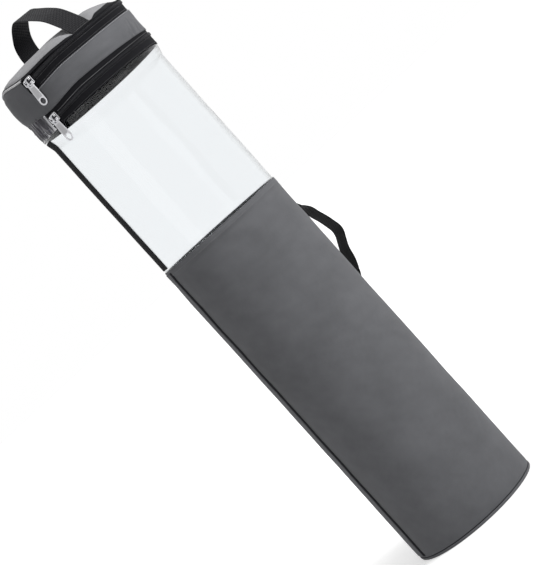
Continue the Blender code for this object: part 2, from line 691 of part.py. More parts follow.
def slider_and_pull(name, chain_height, park, lean, mesh, curve, carrier):
    """A slider parked at the start of its travel, with its pull hanging from the bail."""
    track = joint_empty(f"{name}_slider_track", (0, 0, chain_height), (0, 0, HINGE_SIDE + park))
    if carrier:
        track.parent = carrier
        track.location = track.location - carrier.location
    slider = bpy.data.objects.new(f"{name}_slider", mesh)
    bpy.data.collections["gift_wrap_organizer"].objects.link(slider)
    slider.parent = track
    bar = PULL_THICKNESS / 2
    bar_out = PLATE_FACE + PULL_PLAY + bar
    bar_drop = BAIL_SPAN / 2 - PULL_PLAY - bar
    hinge = joint_empty(f"{name}_pull_hinge", (bar_out, 0, -bar_drop), (lean, 0, 0), track)
    pull = bpy.data.objects.new(f"{name}_pull", curve)
    bpy.data.collections["gift_wrap_organizer"].objects.link(pull)
    pull.parent = hinge
    pull.rotation_euler = (math.pi / 2, 0, math.pi / 2)


def build():
    start_scene()
    lid_joint = joint_empty("lid_hinge", (0, LID_HINGE_Y, LID_CHAIN_HEIGHT))
    flap_place = Vector((0, 0, POCKET_HINGE_HEIGHT - LID_CHAIN_HEIGHT))
    flap_joint = joint_empty("flap_hinge", flap_place, carrier=lid_joint)
    tube()
    lid_zipper(lid_joint)
    lid_hinge_gussets(lid_joint)
    side_handle()
    lid(lid_joint)
    flap(flap_joint)
    top_handle(flap_joint)
    mesh = slider_mesh()
    curve = pull_curve()
    curve.materials.append(material("metal"))
    park = LID_HINGE_HALF_ANGLE
    slider_and_pull("lid", LID_CHAIN_HEIGHT, park, LID_PULL_LEAN, mesh, curve, None)
    park = POCKET_HINGE_HALF_ANGLE
    slider_and_pull("pocket", POCKET_CHAIN_HEIGHT, park, POCKET_PULL_LEAN, mesh, curve, lid_joint)


build()
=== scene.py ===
"""Looks of the gift wrap organizer: its cloth, film, webbing, zippers, light and camera. Metres, +Z up."""
from functools import lru_cache
from itertools import accumulate
from math import asin, atan2, cos, dist, exp, hypot, pi, radians, sin, sqrt

import bmesh
import bpy
from mathutils import Matrix, Quaternion, Vector, noise


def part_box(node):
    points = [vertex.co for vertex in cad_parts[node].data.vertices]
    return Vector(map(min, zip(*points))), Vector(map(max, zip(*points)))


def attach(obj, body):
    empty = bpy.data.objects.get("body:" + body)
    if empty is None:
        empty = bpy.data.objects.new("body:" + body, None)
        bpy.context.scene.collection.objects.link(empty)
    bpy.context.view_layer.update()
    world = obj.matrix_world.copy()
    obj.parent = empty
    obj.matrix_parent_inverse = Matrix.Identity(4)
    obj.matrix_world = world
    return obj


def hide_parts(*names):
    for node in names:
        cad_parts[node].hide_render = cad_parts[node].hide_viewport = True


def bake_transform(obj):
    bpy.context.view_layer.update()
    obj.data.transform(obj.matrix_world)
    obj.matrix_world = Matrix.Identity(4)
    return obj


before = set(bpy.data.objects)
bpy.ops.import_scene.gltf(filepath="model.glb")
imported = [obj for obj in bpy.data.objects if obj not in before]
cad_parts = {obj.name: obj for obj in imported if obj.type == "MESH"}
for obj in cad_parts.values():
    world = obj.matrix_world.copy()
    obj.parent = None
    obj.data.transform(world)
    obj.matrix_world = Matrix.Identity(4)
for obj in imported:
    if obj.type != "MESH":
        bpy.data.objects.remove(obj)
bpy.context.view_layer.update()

MM = 0.001
UP = Vector((0, 0, 1))
HINGE_SIDE = radians(90)
HANDLE_SIDE = radians(-90)
VIEW_SIDE = radians(155)


# Sizes, read from the frame


@lru_cache(maxsize=None)
def box(node):
    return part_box(node)


def low(node):
    return box(node)[0][2]


def high(node):
    return box(node)[1][2]


def radius_of(ring):
    return box(ring)[1][0]


def half_angle(node, radius):
    """Half of the angle that a piece on the hinge side takes."""
    return asin(box(node)[1][0] / radius)


FABRIC = 1.5 * MM
FILM = 0.8 * MM
FIT = 0.3 * MM
TUBE = radius_of("sleeve")
FILM_RADIUS = TUBE - FABRIC - FIT
MOUTH = radius_of("window")
TAPE_RADIUS = radius_of("pocket_zip_lower_tape")
LID = radius_of("lid_wall")
COIL_RADIUS = radius_of("lid_zip_lower_coil")
BASE_TOP = high("base_panel")
SLEEVE_TOP = high("sleeve")
BAND_BOTTOM = low("lid_zip_lower_tape")
LID_CHAIN = (high("lid_zip_lower_coil") + low("lid_zip_upper_coil")) / 2
WALL_BOTTOM = low("lid_wall")
WALL_TOP = high("lid_wall")
POCKET_CHAIN = (high("pocket_zip_lower_coil") + low("pocket_zip_upper_coil")) / 2
RIM = high("pocket_back_panel")
PANEL_EDGE = low("hinge_piping") + 1.0 * MM
LID_GUSSET_HALF = half_angle("lid_gusset", TAPE_RADIUS)
BACK_HALF = half_angle("pocket_back_panel", LID)
PIPING_HALF = half_angle("hinge_piping", LID)
LID_PARK = radians(25)
POCKET_PARK = radians(30)
# Rows of stitches end this angle before their cloth does
END_MARGIN = 0.02
# The wall's step up to the rim and the ends of the panel's binding keep these angles clear
STEP_MARGIN = 0.01
BINDING_MARGIN = 0.003

# The soft lid's slack. An arc is the side of the bag that a part of it is greatest on, how far round it goes
# from there and, if that is less, the angle that it fades over, in degrees. It comes in between the heights.
NEAR_WALL = (0.6 * TUBE, 0.95 * TUBE)
# The lid leans down towards -X
LID_LEAN = 8 * MM
LEAN_SOFTNESS = 0.2 * LID
LEAN_HEIGHTS = (BAND_BOTTOM - 6 * MM, WALL_BOTTOM)
# It sinks further where the sliders are parked
PARK_DIP = 6 * MM
PARK_ARC = (118, 34)
# Its wall stands out round the hinge
BULGE = 4.5 * MM
BULGE_ARC = (82, 28)
BULGE_HEIGHTS = (WALL_BOTTOM, WALL_BOTTOM + 18 * MM)
BULGE_TOP = RIM + 2.5 * MM
BULGE_FADE = 14 * MM
# The upper part of the wall sinks beyond the hinge
BACK_DIP = 4 * MM
BACK_DIP_ARC = (60, 30)
BACK_DIP_HEIGHTS = (WALL_BOTTOM + 14 * MM, WALL_TOP + 8 * MM)
# The wall's lower seam rides up over the zipper's band
SEAM_RISE = 7.5 * MM
SEAM_RISE_ARC = (152, 115)
SEAM_RISE_START = LID_CHAIN + 4 * MM
SEAM_RISE_TOP = WALL_BOTTOM + 22 * MM
# The rim drops on the side that the photo shows on the right
RIM_DROP = 4.5 * MM
RIM_DROP_ARC = (215, 100, 50)
RIM_DROP_OUT = (0.78 * LID, 0.94 * LID)
RIM_DROP_HEIGHTS = (POCKET_CHAIN + 3 * MM, RIM)


def ease(share):
    """0 up to a share of 0, 1 from a share of 1, and a smooth step between them."""
    share = min(max(share, 0), 1)
    return share * share * (3 - 2 * share)


def between(value, start, end):
    """0 at the start and before it, 1 at the end and past it, and a smooth step between them."""
    return ease((value - start) / (end - start))


def loose(height, bottom, top, bottom_fade, top_fade):
    """0 on the seams that hold a cloth at its bottom and top, and 1 away from both."""
    return ease((height - bottom) / bottom_fade) * ease((top - height) / top_fade)


def turn_between(a, b):
    return abs((a - b + pi) % (2 * pi) - pi)


def near(angle, side, half, fade=None):
    """1 on a side of the bag, and 0 from half an arc away from it. The step between them takes the whole half,
    or its last part given as the fade. The side, half and fade are in degrees."""
    return ease((radians(half) - turn_between(angle, radians(side))) / radians(fade or half))


def slack(point):
    """Where a point of the straight model lies on the soft one."""
    x, y, z = point
    if z < LEAN_HEIGHTS[0]:
        return Vector(point)
    angle = atan2(y, x)
    out = hypot(x, y)
    near_wall = between(out, *NEAR_WALL)
    bulge = near(angle, *BULGE_ARC) * near_wall * between(z, *BULGE_HEIGHTS)
    push = BULGE * bulge * ease((BULGE_TOP - z) / BULGE_FADE)
    grown = 1 + push / max(out, MM)
    lean = (hypot(x, LEAN_SOFTNESS) - x) / (2 * LID)
    parked = near(angle, *PARK_ARC) * near_wall
    sink = (LID_LEAN * lean + PARK_DIP * parked) * between(z, *LEAN_HEIGHTS)
    sink += BACK_DIP * near(angle, *BACK_DIP_ARC) * near_wall * between(z, *BACK_DIP_HEIGHTS)
    risen = between(z, SEAM_RISE_START, WALL_BOTTOM) * between(z, SEAM_RISE_TOP, WALL_BOTTOM)
    sink -= SEAM_RISE * near(angle, *SEAM_RISE_ARC) * near_wall * risen
    dropped = near(angle, *RIM_DROP_ARC) * between(out, *RIM_DROP_OUT)
    sink += RIM_DROP * dropped * between(z, *RIM_DROP_HEIGHTS)
    return Vector((x * grown, y * grown, z - sink))


def ripple(angle, height, across, along, seed=0.0):
    """Smooth noise round the bag. The lengths are those of its ripples round the bag and up it."""
    turn = TUBE / across
    return noise.noise(Vector((turn * cos(angle) + seed, turn * sin(angle), height / along)))


# Materials


class Nodes:
    """A material's node tree, built up one node at a time. Its textures lie in the coordinates named."""

    def __init__(self, name, coordinates, **sockets):
        self.material = bpy.data.materials.new(name)
        self.material.use_nodes = True
        self.tree = self.material.node_tree
        self.shader = self.tree.nodes["Principled BSDF"]
        self.place = self.add("TexCoord", output=coordinates)
        self.surface(**sockets)

    def set(self, node, sockets):
        for key, value in sockets.items():
            if isinstance(value, bpy.types.NodeSocket):
                self.tree.links.new(value, node.inputs[key])
            else:
                node.inputs[key].default_value = value

    def add(self, kind, sockets=None, output=0, **settings):
        node = self.tree.nodes.new("ShaderNode" + kind)
        for key, value in settings.items():
            setattr(node, key, value)
        self.set(node, sockets or {})
        return node.outputs[output]

    def surface(self, **sockets):
        """Sets the shader's sockets. The spaces in their names are underscores here."""
        self.set(self.shader, {key.replace("_", " "): value for key, value in sockets.items()})

    def math(self, operation, a, b):
        return self.add("Math", {0: a, 1: b}, operation=operation)

    def total(self, *parts):
        """The sum of values, each times its share."""
        total = 0.0
        for value, share in parts:
            total = self.math("ADD", total, self.math("MULTIPLY", value, share))
        return total

    def mix(self, factor, a, b):
        return self.add("Mix", {0: factor, 6: a, 7: b}, output=2, data_type="RGBA")

    def tint(self, factor, colour, dark, light):
        """Colours the surface with two shades of a colour."""
        self.surface(Base_Color=self.mix(factor, shade(colour, dark), shade(colour, light)))

    def spread(self, value, start, end, first=0.0, last=1.0):
        """Goes from first to last while the value goes from start to end."""
        sockets = {"Value": value, "From Min": start, "From Max": end, "To Min": first, "To Max": last}
        return self.add("MapRange", sockets)

    def grain(self, scale, detail, distortion=0.0, place=None):
        sockets = {"Scale": scale, "Detail": detail, "Distortion": distortion}
        return self.add("TexNoise", {"Vector": place or self.place, **sockets})

    def waves(self, scale, direction):
        sockets = {"Vector": self.place, "Scale": scale}
        return self.add("TexWave", sockets, output="Fac", bands_direction=direction)

    def bump(self, height, strength, distance):
        self.surface(Normal=self.add("Bump", {"Height": height, "Strength": strength, "Distance": distance}))


def shade(colour, factor):
    return (*[min(part * factor, 1) for part in colour], 1)


# How long one wave of the wave texture is at a scale of 1
WAVE_LENGTH = 0.314


def threads(nodes, width):
    """Height of a plain weave: warp and weft cross over and under each other."""
    warp, weft = (nodes.waves(WAVE_LENGTH / width, direction) for direction in "XY")
    over = nodes.add("TexChecker", {"Vector": nodes.place, "Scale": 1 / width}, output="Fac")
    return nodes.add("Mix", {0: over, 2: warp, 3: weft}, data_type="FLOAT")


def cloth(name, colour, thread, relief=0.25, mottle=0.10, sheen=0.1, gloss=0.2):
    """Woven cloth. Its thread's width is in metres, and so are the cloth's own coordinates."""
    nodes = Nodes(name, "UV", Roughness=0.85, Specular_IOR_Level=gloss)
    nodes.surface(Sheen_Weight=sheen, Sheen_Roughness=0.5)
    weave = threads(nodes, thread)
    light = nodes.total((nodes.grain(14.0, 4.0), 0.5), (nodes.grain(55.0, 5.0), 0.3), (weave, 0.2))
    nodes.tint(light, colour, 1 - 2 * mottle, 1 + 2 * mottle)
    nodes.bump(nodes.total((weave, 1.0), (nodes.grain(0.6 / thread, 3.0), 0.5)), relief, thread * 0.4)
    return nodes.material


def ribbed_webbing(name, colour):
    """Webbing: fine crosswise picks over the ribs that the mesh has."""
    nodes = Nodes(name, "UV", Roughness=0.6, Specular_IOR_Level=0.10)
    nodes.surface(Sheen_Weight=0.02, Sheen_Roughness=0.4)
    light = nodes.total((threads(nodes, 3.6 * MM), 0.7), (nodes.grain(900.0, 3.0), 0.3))
    nodes.tint(light, colour, 0.1, 2.2)
    nodes.bump(light, 1.0, 0.8 * MM)
    return nodes.material


def moulded(name, colour, roughness):
    nodes = Nodes(name, "Object", Roughness=roughness, Specular_IOR_Level=0.2)
    nodes.tint(nodes.grain(60.0, 3.0), colour, 0.7, 1.4)
    nodes.bump(nodes.grain(700.0, 3.0), 0.2, 0.1 * MM)
    return nodes.material


def thread_cord(name, colour):
    nodes = Nodes(name, "Object", Roughness=0.7, Sheen_Weight=0.3)
    twist = nodes.waves(500.0, "DIAGONAL")
    nodes.tint(twist, colour, 0.6, 1.3)
    nodes.bump(twist, 0.4, 0.1 * MM)
    return nodes.material


def plated(name, colour, roughness):
    """Plated zipper metal, with faint grain and small scuffs."""
    nodes = Nodes(name, "Object", Metallic=1.0)
    scuff = nodes.grain(160.0, 6.0, 1.5)
    nodes.tint(scuff, colour, 0.82, 1.12)
    nodes.surface(Roughness=nodes.spread(scuff, 0.0, 1.0, roughness - 0.08, roughness + 0.12))
    nodes.bump(nodes.grain(600.0, 4.0), 0.12, 0.05 * MM)
    return nodes.material


def clear_film(name, colour, roughness):
    """Clear flexible film, with a slow waviness and faint haze, darker where it is seen aslant."""
    nodes = Nodes(name, "Object", Transmission_Weight=1.0, IOR=1.25)
    haze = nodes.spread(nodes.grain(240.0, 4.0), 0.0, 1.0, roughness, roughness + 0.05)
    aslant = nodes.spread(nodes.add("LayerWeight", {"Blend": 0.5}, output="Facing"), 0.6, 1.0)
    nodes.surface(Roughness=haze, Base_Color=nodes.mix(aslant, (*colour, 1), shade(colour, 0.55)))
    nodes.bump(nodes.grain(26.0, 2.0), 0.25, 1.5 * MM)
    return nodes.material


def folded_film_painted_light(name, dark, light):
    """Clear film crumpled over itself, coloured with painted shade, and with painted highlights along its
    folds.
    """
    nodes = Nodes(name, "UV", Transmission_Weight=0.35, IOR=1.4, Roughness=0.12)
    upright = nodes.add("Mapping", {"Vector": nodes.place, "Scale": (1.0, 0.08, 1.0)})
    fold_and_highlight = nodes.grain(110.0, 2.0, 0.4, upright)
    layers = nodes.grain(420.0, 3.0, 0.0, upright)
    # The dark colour and its spread are painted shade.
    shadowed = nodes.mix(layers, shade(dark, 0.5), shade(dark, 1.8))
    # The pale streaks are painted highlights along the folds; the same noise bumps the folds.
    nodes.surface(Base_Color=nodes.mix(nodes.spread(fold_and_highlight, 0.50, 0.60), shadowed, (*light, 1)))
    nodes.bump(fold_and_highlight, 0.5, 1.5 * MM)
    return nodes.material


GREY = (0.118, 0.120, 0.128)
LIGHT_GREY = (0.26, 0.26, 0.27)
BLACK = (0.012, 0.012, 0.014)
WEAVE = 0.45 * MM
finishes = {
    "grey_fabric": cloth("grey_fabric", GREY, WEAVE, mottle=0.22),
    "light_fabric": cloth("light_fabric", LIGHT_GREY, WEAVE),
    "black_fabric": cloth("black_fabric", BLACK, 0.6 * MM, relief=0.6, mottle=0.2, sheen=0.02, gloss=0.06),
    "webbing": ribbed_webbing("webbing", (0.009, 0.009, 0.0105)),
    "zipper_coil": moulded("zipper_coil", (0.016, 0.016, 0.019), 0.32),
    "clear_film": clear_film("clear_film", (0.93, 0.945, 0.955), 0.02),
    "stiffener_board": moulded("stiffener_board", (0.10, 0.10, 0.11), 0.6),
    "zipper_metal": plated("zipper_metal", (0.50, 0.50, 0.52), 0.24),
}
GREY_THREAD = thread_cord("grey_thread", (0.16, 0.16, 0.17))
BLACK_THREAD = thread_cord("black_thread", (0.03, 0.03, 0.034))
TAPE_THREAD = thread_cord("tape_thread", (0.085, 0.085, 0.09))
PALE_THREAD = thread_cord("pale_thread", (0.42, 0.42, 0.44))
# Film with painted shade as its dark colour and painted highlights as its pale one.
FOLDED_FILM_PAINTED_LIGHT = folded_film_painted_light("folded_film_painted_light", (0.055, 0.052, 0.068), (0.90, 0.90, 0.93))
# Light fabric made far paler for the piping cord: partly its own colour, partly a painted highlight along the
# roll.
PIPING_PAINTED_HIGHLIGHT = cloth("light_piping_painted_highlight", (0.62, 0.62, 0.63), WEAVE)
PULL_FACE = plated("pull_face", (0.33, 0.33, 0.34), 0.40)
# Near-black metal for the plate in the slider's recess: painted shade.
RECESS_PAINTED_SHADE = plated("recess_painted_shade", (0.05, 0.05, 0.055), 0.45)
# Near-white metal for the slider's ribs: painted highlights.
RIB_PAINTED_HIGHLIGHT = plated("rib_painted_highlight", (0.85, 0.85, 0.86), 0.30)


# Making pieces


def settle(piece, body, nodes=(), slot=None, finish=None, held_at=None):
    """Gives a piece its finish and its slack, puts it on the body that it rides on, and hides the solids that
    it stands for.

    A stiff piece keeps its form, and moves with the slack of the point that it is held at.
    """
    piece.data.materials.clear()
    piece.data.materials.append(finish or finishes[slot])

    def placed(point):
        return slack(point) if held_at is None else point + slack(held_at) - held_at

    if piece.type == "MESH":
        for point in piece.data.vertices:
            point.co = placed(point.co)
    else:
        for line in piece.data.splines:
            for point in line.points:
                point.co = (*placed(point.co.xyz), 1)
    if nodes:
        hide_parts(*nodes)
    if body:
        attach(piece, body)
    return piece


def new_piece(name, mesh_or_curve):
    piece = bpy.data.objects.new(name, mesh_or_curve)
    bpy.context.scene.collection.objects.link(piece)
    return piece


def piece_from(name, solid):
    mesh = bpy.data.meshes.new(name)
    solid.to_mesh(mesh)
    solid.free()
    return new_piece(name, mesh)


def dense(outline, step):
    """The outline with points added along its straight stretches."""
    points = []
    for (r0, z0), (r1, z1) in zip(outline, outline[1:]):
        count = max(1, round(hypot(r1 - r0, z1 - z0) / step))
        points += [(r0 + (r1 - r0) * i / count, z0 + (z1 - z0) * i / count) for i in range(count)]
    return points + [outline[-1]]


def folded_edge(radius, height, size, up):
    """An outline's rolled edge: the cloth is folded under, so its edge is full and round."""
    sign = 1 if up else -1
    angles = [radians(a) for a in (-60, -20, 20, 55, 90)]
    points = [(radius - size + size * cos(a), height - sign * size * (1 - sin(a))) for a in angles]
    return list(reversed(points)) if up else points


def bag_point(angle, radius, height, relief=None):
    """A point of a form round the bag. relief gives how far (out, up) it stands off that form."""
    out, up = relief(angle, radius, height) if relief else (0, 0)
    return (radius + out) * cos(angle), (radius + out) * sin(angle), height + up


def lengths_along(points):
    """How far along their line each of the points is."""
    return list(accumulate((dist(a, b) for a, b in zip(points, points[1:])), initial=0))


def skin(solid, rows, columns, turns, place):
    """Faces between rows of points. turns are a face's corners as steps (across, down), in their order. place
    gives the cloth's own coordinates at a (column, row)."""
    layer = solid.loops.layers.uv.new("cloth")
    for k in range(len(rows) - 1):
        for i in range(columns):
            corners = [(i + across, k + down) for across, down in turns]
            face = solid.faces.new([rows[row][column % len(rows[row])] for column, row in corners])
            face.smooth = True
            for loop, (column, row) in zip(face.loops, corners):
                loop[layer].uv = place(column, row)


def turned(name, outline, thickness, relief=None, middle=HINGE_SIDE, half=pi, columns=240):
    """Cloth turned about the bag's axis. The outline is (radius, height) down its outer face, and the cloth's
    coordinates are in metres. A thickness of 0 leaves the form that the outline has."""
    count = columns if half == pi else columns + 1
    angles = [middle - half + 2 * half * i / columns for i in range(count)]
    solid = bmesh.new()
    rows = [[solid.verts.new(bag_point(angle, *spot, relief)) for angle in angles] for spot in outline]
    widest = max(radius for radius, _ in outline)
    lengths = lengths_along(outline)

    def place(column, row):
        return 2 * half * column / columns * widest, lengths[row]

    skin(solid, rows, columns, ((0, 0), (0, 1), (1, 1), (1, 0)), place)
    bmesh.ops.remove_doubles(solid, verts=solid.verts, dist=0.001 * MM)
    piece = piece_from(name, solid)
    if thickness:
        wall = piece.modifiers.new("wall", "SOLIDIFY")
        wall.thickness = thickness
        wall.offset = -1
    return piece


def cord(name, points, thickness, resolution):
    """A round cord along a line of points."""
    curve = bpy.data.curves.new(name, "CURVE")
    curve.dimensions = "3D"
    curve.bevel_depth = thickness
    curve.bevel_resolution = resolution
    curve.use_fill_caps = True
    line = curve.splines.new("POLY")
    line.points.add(len(points) - 1)
    for spot, point in zip(line.points, points):
        spot.co = (*point, 1)
    return new_piece(name, curve)


def ring(name, radius, height, thickness, middle, half):
    """A cord that lies round the bag."""
    count = max(12, round(180 * half / pi))
    angles = [middle - half + 2 * half * i / count for i in range(count + 1)]
    return cord(name, [bag_point(angle, radius, height) for angle in angles], thickness, 3)


# Stitches

PITCH = 3.2 * MM
THREAD = 0.28 * MM
# How much of the pitch shows as thread
SHOWN = 0.78
STITCH_SIDES = 5
# Along a stitch, as shares of its length and size: how far along, how thick and how far out
STITCH_FORM = ((-0.5, 0.3, -0.6), (-0.32, 0.9, 0.1), (0, 1, 0.3), (0.32, 0.9, 0.1), (0.5, 0.3, -0.6))


def add_stitch(solid, centre, along, out, length, size):
    """One stitch of thread: a short cord whose ends dip into the cloth."""
    side = along.cross(out).normalized()
    turns = [2 * pi * k / STITCH_SIDES for k in range(STITCH_SIDES)]
    rings = []
    for share, girth, lift in STITCH_FORM:
        middle = centre + along * (length * share) + out * (size * lift)
        spots = [middle + (out * cos(turn) + side * sin(turn)) * (size * girth) for turn in turns]
        rings.append([solid.verts.new(spot) for spot in spots])
    for a, b in zip(rings, rings[1:]):
        for k in range(STITCH_SIDES):
            m = (k + 1) % STITCH_SIDES
            solid.faces.new((a[k], a[m], b[m], b[k])).smooth = True
    solid.faces.new(list(reversed(rings[0])))
    solid.faces.new(rings[-1])


def sew(name, body, stitches, size, thread):
    """A piece of stitches, each given as (centre, along, out, length)."""
    solid = bmesh.new()
    for centre, along, out, length in stitches:
        add_stitch(solid, Vector(centre), along, out, length, size)
    settle(piece_from(name, solid), body, finish=thread)


def outwards(angle):
    return Vector((cos(angle), sin(angle), 0))


def stitch_ring(name, body, radius, height, middle, half, thread, relief=None, pitch=PITCH, size=THREAD):
    """A row of stitches round the bag."""
    count = round(2 * half * radius / pitch)
    stitches = []
    for i in range(count):
        angle = middle - half + 2 * half * (i + 0.5) / count
        out = outwards(angle)
        stitches.append((bag_point(angle, radius, height, relief), UP.cross(out), out, SHOWN * pitch))
    sew(name, body, stitches, size, thread)


def stitch_rise(name, body, radius, bottom, top, angle, thread, relief):
    """A row of stitches up the bag."""
    count = round((top - bottom) / PITCH)
    heights = [bottom + (top - bottom) * (i + 0.5) / count for i in range(count)]
    out = outwards(angle)
    stitches = [(bag_point(angle, radius, height, relief), UP, out, SHOWN * PITCH) for height in heights]
    sew(name, body, stitches, THREAD, thread)


def stitch_lines(name, body, lines, out):
    """Straight rows of stitches through webbing."""
    stitches = []
    for start, end in lines:
        along = end - start
        count = max(2, round(along.length / (2.8 * MM)))
        for i in range(count):
            centre = start + along * ((i + 0.5) / count) + out * (0.1 * MM)
            stitches.append((centre, along.normalized(), out, 0.8 * along.length / count))
    sew(name, body, stitches, 0.3 * MM, BLACK_THREAD)


# The tube

SEAM_SIDE = radians(78.7)
SEAM_HALF = radians(9.7)
GROOVE = radians(3.6)
SEAM_INSET = 2.5 * MM / TUBE
HEM = 11 * MM
FLARE = 23 * MM
FLARE_STEPS = 6


def sleeve_relief(angle, radius, height):
    """Ripples in the sleeve: slow ones all over, slanting ones under its hem and puckers over its base.
    They are deepest on the side that the photo shows."""
    slow = 1.5 * MM * ripple(angle, height, 90 * MM, 260 * MM)
    slant = ripple(angle + height / (180 * MM), height, 45 * MM, 70 * MM, 3.0)
    under_hem = 3.2 * MM * slant * exp((height - SLEEVE_TOP) / (150 * MM))
    middle = 1.5 * MM * ripple(angle - height / (260 * MM), height, 50 * MM, 60 * MM, 7.0)
    pucker = 0.7 * MM * ripple(angle, 0, 16 * MM, 50 * MM, 5.0) * exp((BASE_TOP - height) / (28 * MM))
    free = loose(height, BASE_TOP, SLEEVE_TOP, 6 * MM, 25 * MM)
    beside = ease(turn_between(angle, VIEW_SIDE) / radians(90))
    waves = (slow + under_hem + middle) * (1 - 0.7 * beside)
    return (waves + pucker) * free - 0.2 * MM * (1 - free), 0


def sleeve():
    bottom = low("sleeve")
    hem = SLEEVE_TOP - HEM
    outline = folded_edge(TUBE, SLEEVE_TOP, 0.9 * MM, True)
    outline += dense([(TUBE, SLEEVE_TOP - 2 * MM), (TUBE, hem)], 3 * MM)
    outline += dense([(TUBE - 0.5 * MM, hem - 0.6 * MM), (TUBE - 0.3 * MM, bottom + 1.5 * MM)], 6 * MM)
    outline += [(TUBE - 0.5 * MM, bottom + 0.7 * MM), (TUBE - 1.1 * MM, bottom)]
    piece = turned("sleeve_cloth", outline, 1.1 * MM, sleeve_relief)
    settle(piece, "tube", ["sleeve"], "grey_fabric")
    stitch_ring("sleeve_hem_stitches", "tube", TUBE + 0.1 * MM, hem + 2.2 * MM, HINGE_SIDE, pi, GREY_THREAD,
                sleeve_relief)


def sleeve_seam():
    """The lap where the sleeve's two edges are sewn over each other, and a dark strip in the groove along its
    edge, which is painted shadow.
    """
    top = high("sleeve_seam")
    bottom = low("sleeve_seam")
    radius = TUBE + 0.9 * MM
    lap_half = SEAM_HALF - GROOVE / 2
    lap_side = SEAM_SIDE - GROOVE / 2
    lap_outline = dense([(radius, top), (radius, bottom)], 6 * MM)
    lap = turned("sleeve_seam_lap", lap_outline, 0.8 * MM, sleeve_relief, lap_side, lap_half, 16)
    settle(lap, "tube", ["sleeve_seam"], "grey_fabric")
    edge = SEAM_SIDE + SEAM_HALF
    edge_outline = dense([(TUBE + 0.5 * MM, top), (TUBE + 0.5 * MM, bottom)], 6 * MM)
    middle = edge - GROOVE / 2
    # The black strip in the groove beside the lap's edge is a painted shadow.
    binding = turned("sleeve_seam_groove_shadow", edge_outline, 0.5 * MM, sleeve_relief, middle, GROOVE / 2, 6)
    settle(binding, "tube", slot="black_fabric")
    for label, reach, angle in (
        ("near", radius, lap_side - lap_half + SEAM_INSET),
        ("far", radius, lap_side + lap_half - SEAM_INSET),
        ("edge", TUBE, edge + SEAM_INSET),
    ):
        name = f"sleeve_seam_{label}_stitches"
        stitch_rise(name, "tube", reach, bottom, top, angle, GREY_THREAD, sleeve_relief)


def base():
    corner = 2.5 * MM
    centre = TUBE - corner
    arc = [radians(-90 * i / 8) for i in range(9)]
    outline = [(TUBE - 1.0 * MM, BASE_TOP), (TUBE - 0.3 * MM, BASE_TOP - 0.8 * MM)]
    outline += [(TUBE, BASE_TOP - 1.6 * MM)]
    outline += [(centre + corner * cos(a), corner + corner * sin(a)) for a in arc]
    outline += dense([(centre - 4 * MM, 0), (0, 0)], 12 * MM)

    def relief(angle, radius, height):
        pucker = 0.35 * MM * ripple(angle, 0, 14 * MM, 50 * MM, 5.0)
        return pucker * ease(height / (5 * MM)), 0

    piece = turned("base_cloth", outline, 1.2 * MM, relief)
    settle(piece, "tube", ["base_panel"], "grey_fabric")
    seam = ring("base_seam_cord", TUBE - 0.9 * MM, BASE_TOP + 0.15 * MM, 0.7 * MM, HINGE_SIDE, pi)
    settle(seam, "tube", slot="black_fabric")
    inner = radius_of("base_binding")
    binding_outline = dense([(inner, high("base_binding")), (inner, low("base_binding"))], 2 * MM)
    binding = turned("base_inner_binding", binding_outline, 0.8 * MM)
    settle(binding, "tube", ["base_binding"], "black_fabric")
    board_edge = radius_of("base_stiffener")
    board_low = low("base_stiffener")
    board_high = high("base_stiffener")
    rounding = 0.5 * MM
    board = [
        (0, board_high), (board_edge - rounding, board_high), (board_edge, board_high - rounding),
        (board_edge, board_low + rounding), (board_edge - rounding, board_low), (0, board_low),
    ]
    settle(turned("base_board", board, 0, columns=120), "tube", ["base_stiffener"], "stiffener_board")


def window_outline():
    """The film stands straight in the tube and flares out to the mouth under the zipper's band."""
    lower = dense([(FILM_RADIUS, BAND_BOTTOM - FLARE), (FILM_RADIUS, low("window"))], 8 * MM)
    shares = [i / FLARE_STEPS for i in range(FLARE_STEPS)]
    flare = [(MOUTH - (MOUTH - FILM_RADIUS) * ease(share), BAND_BOTTOM - FLARE * share) for share in shares]
    return dense([(MOUTH, high("window")), (MOUTH, BAND_BOTTOM + MM)], 4 * MM) + flare + lower


def film_relief(angle, radius, height):
    """The film is slightly wavy where nothing holds it."""
    wave = 0.9 * MM * ripple(angle, height, 60 * MM, 220 * MM, 11.0)
    wave += 0.3 * MM * ripple(angle, height, 22 * MM, 60 * MM, 2.0)
    return wave * loose(height, SLEEVE_TOP, BAND_BOTTOM, 40 * MM, 15 * MM), 0


def window():
    piece = turned("window_film", window_outline(), FILM, film_relief)
    settle(piece, "tube", ["window"], "clear_film")
    lift = FIT + 0.5 * MM
    strip_top = high("window_seam_strip")
    strip_bottom = low("window_seam_strip")
    film = [(radius + lift, height) for radius, height in window_outline()]
    outline = [spot for spot in film if strip_bottom < spot[1] < strip_top]
    strip = turned("window_seam_binding", outline, 0.5 * MM, film_relief, SEAM_SIDE, SEAM_HALF, 16)
    settle(strip, "tube", ["window_seam_strip"], "black_fabric")
    for label, sign in (("near", -1), ("far", 1)):
        angle = SEAM_SIDE + sign * (SEAM_HALF - SEAM_INSET)
        stitch_rise(f"window_seam_{label}_stitches", "tube", FILM_RADIUS + lift, strip_bottom + 4 * MM,
                    BAND_BOTTOM - FLARE - MM, angle, BLACK_THREAD, film_relief)


# Zippers

COIL_PITCH = 2.2 * MM
COIL_WIRE = 0.5 * MM
COIL_STEPS = 10
# A loop of the coil: half its depth, its middle's distance from the chain's line and half its width
LOOP_DEPTH = 0.62 * MM
LOOP_MIDDLE = 1.15 * MM
LOOP_REACH = 1.75 * MM
SLIDER_ROOM = 9.6 * MM
CHAIN_GAP = 0.25 * MM


def row_half(park):
    """Half of the angle that a zipper's row takes. It ends before the parked slider."""
    return pi - park - SLIDER_ROOM / TAPE_RADIUS


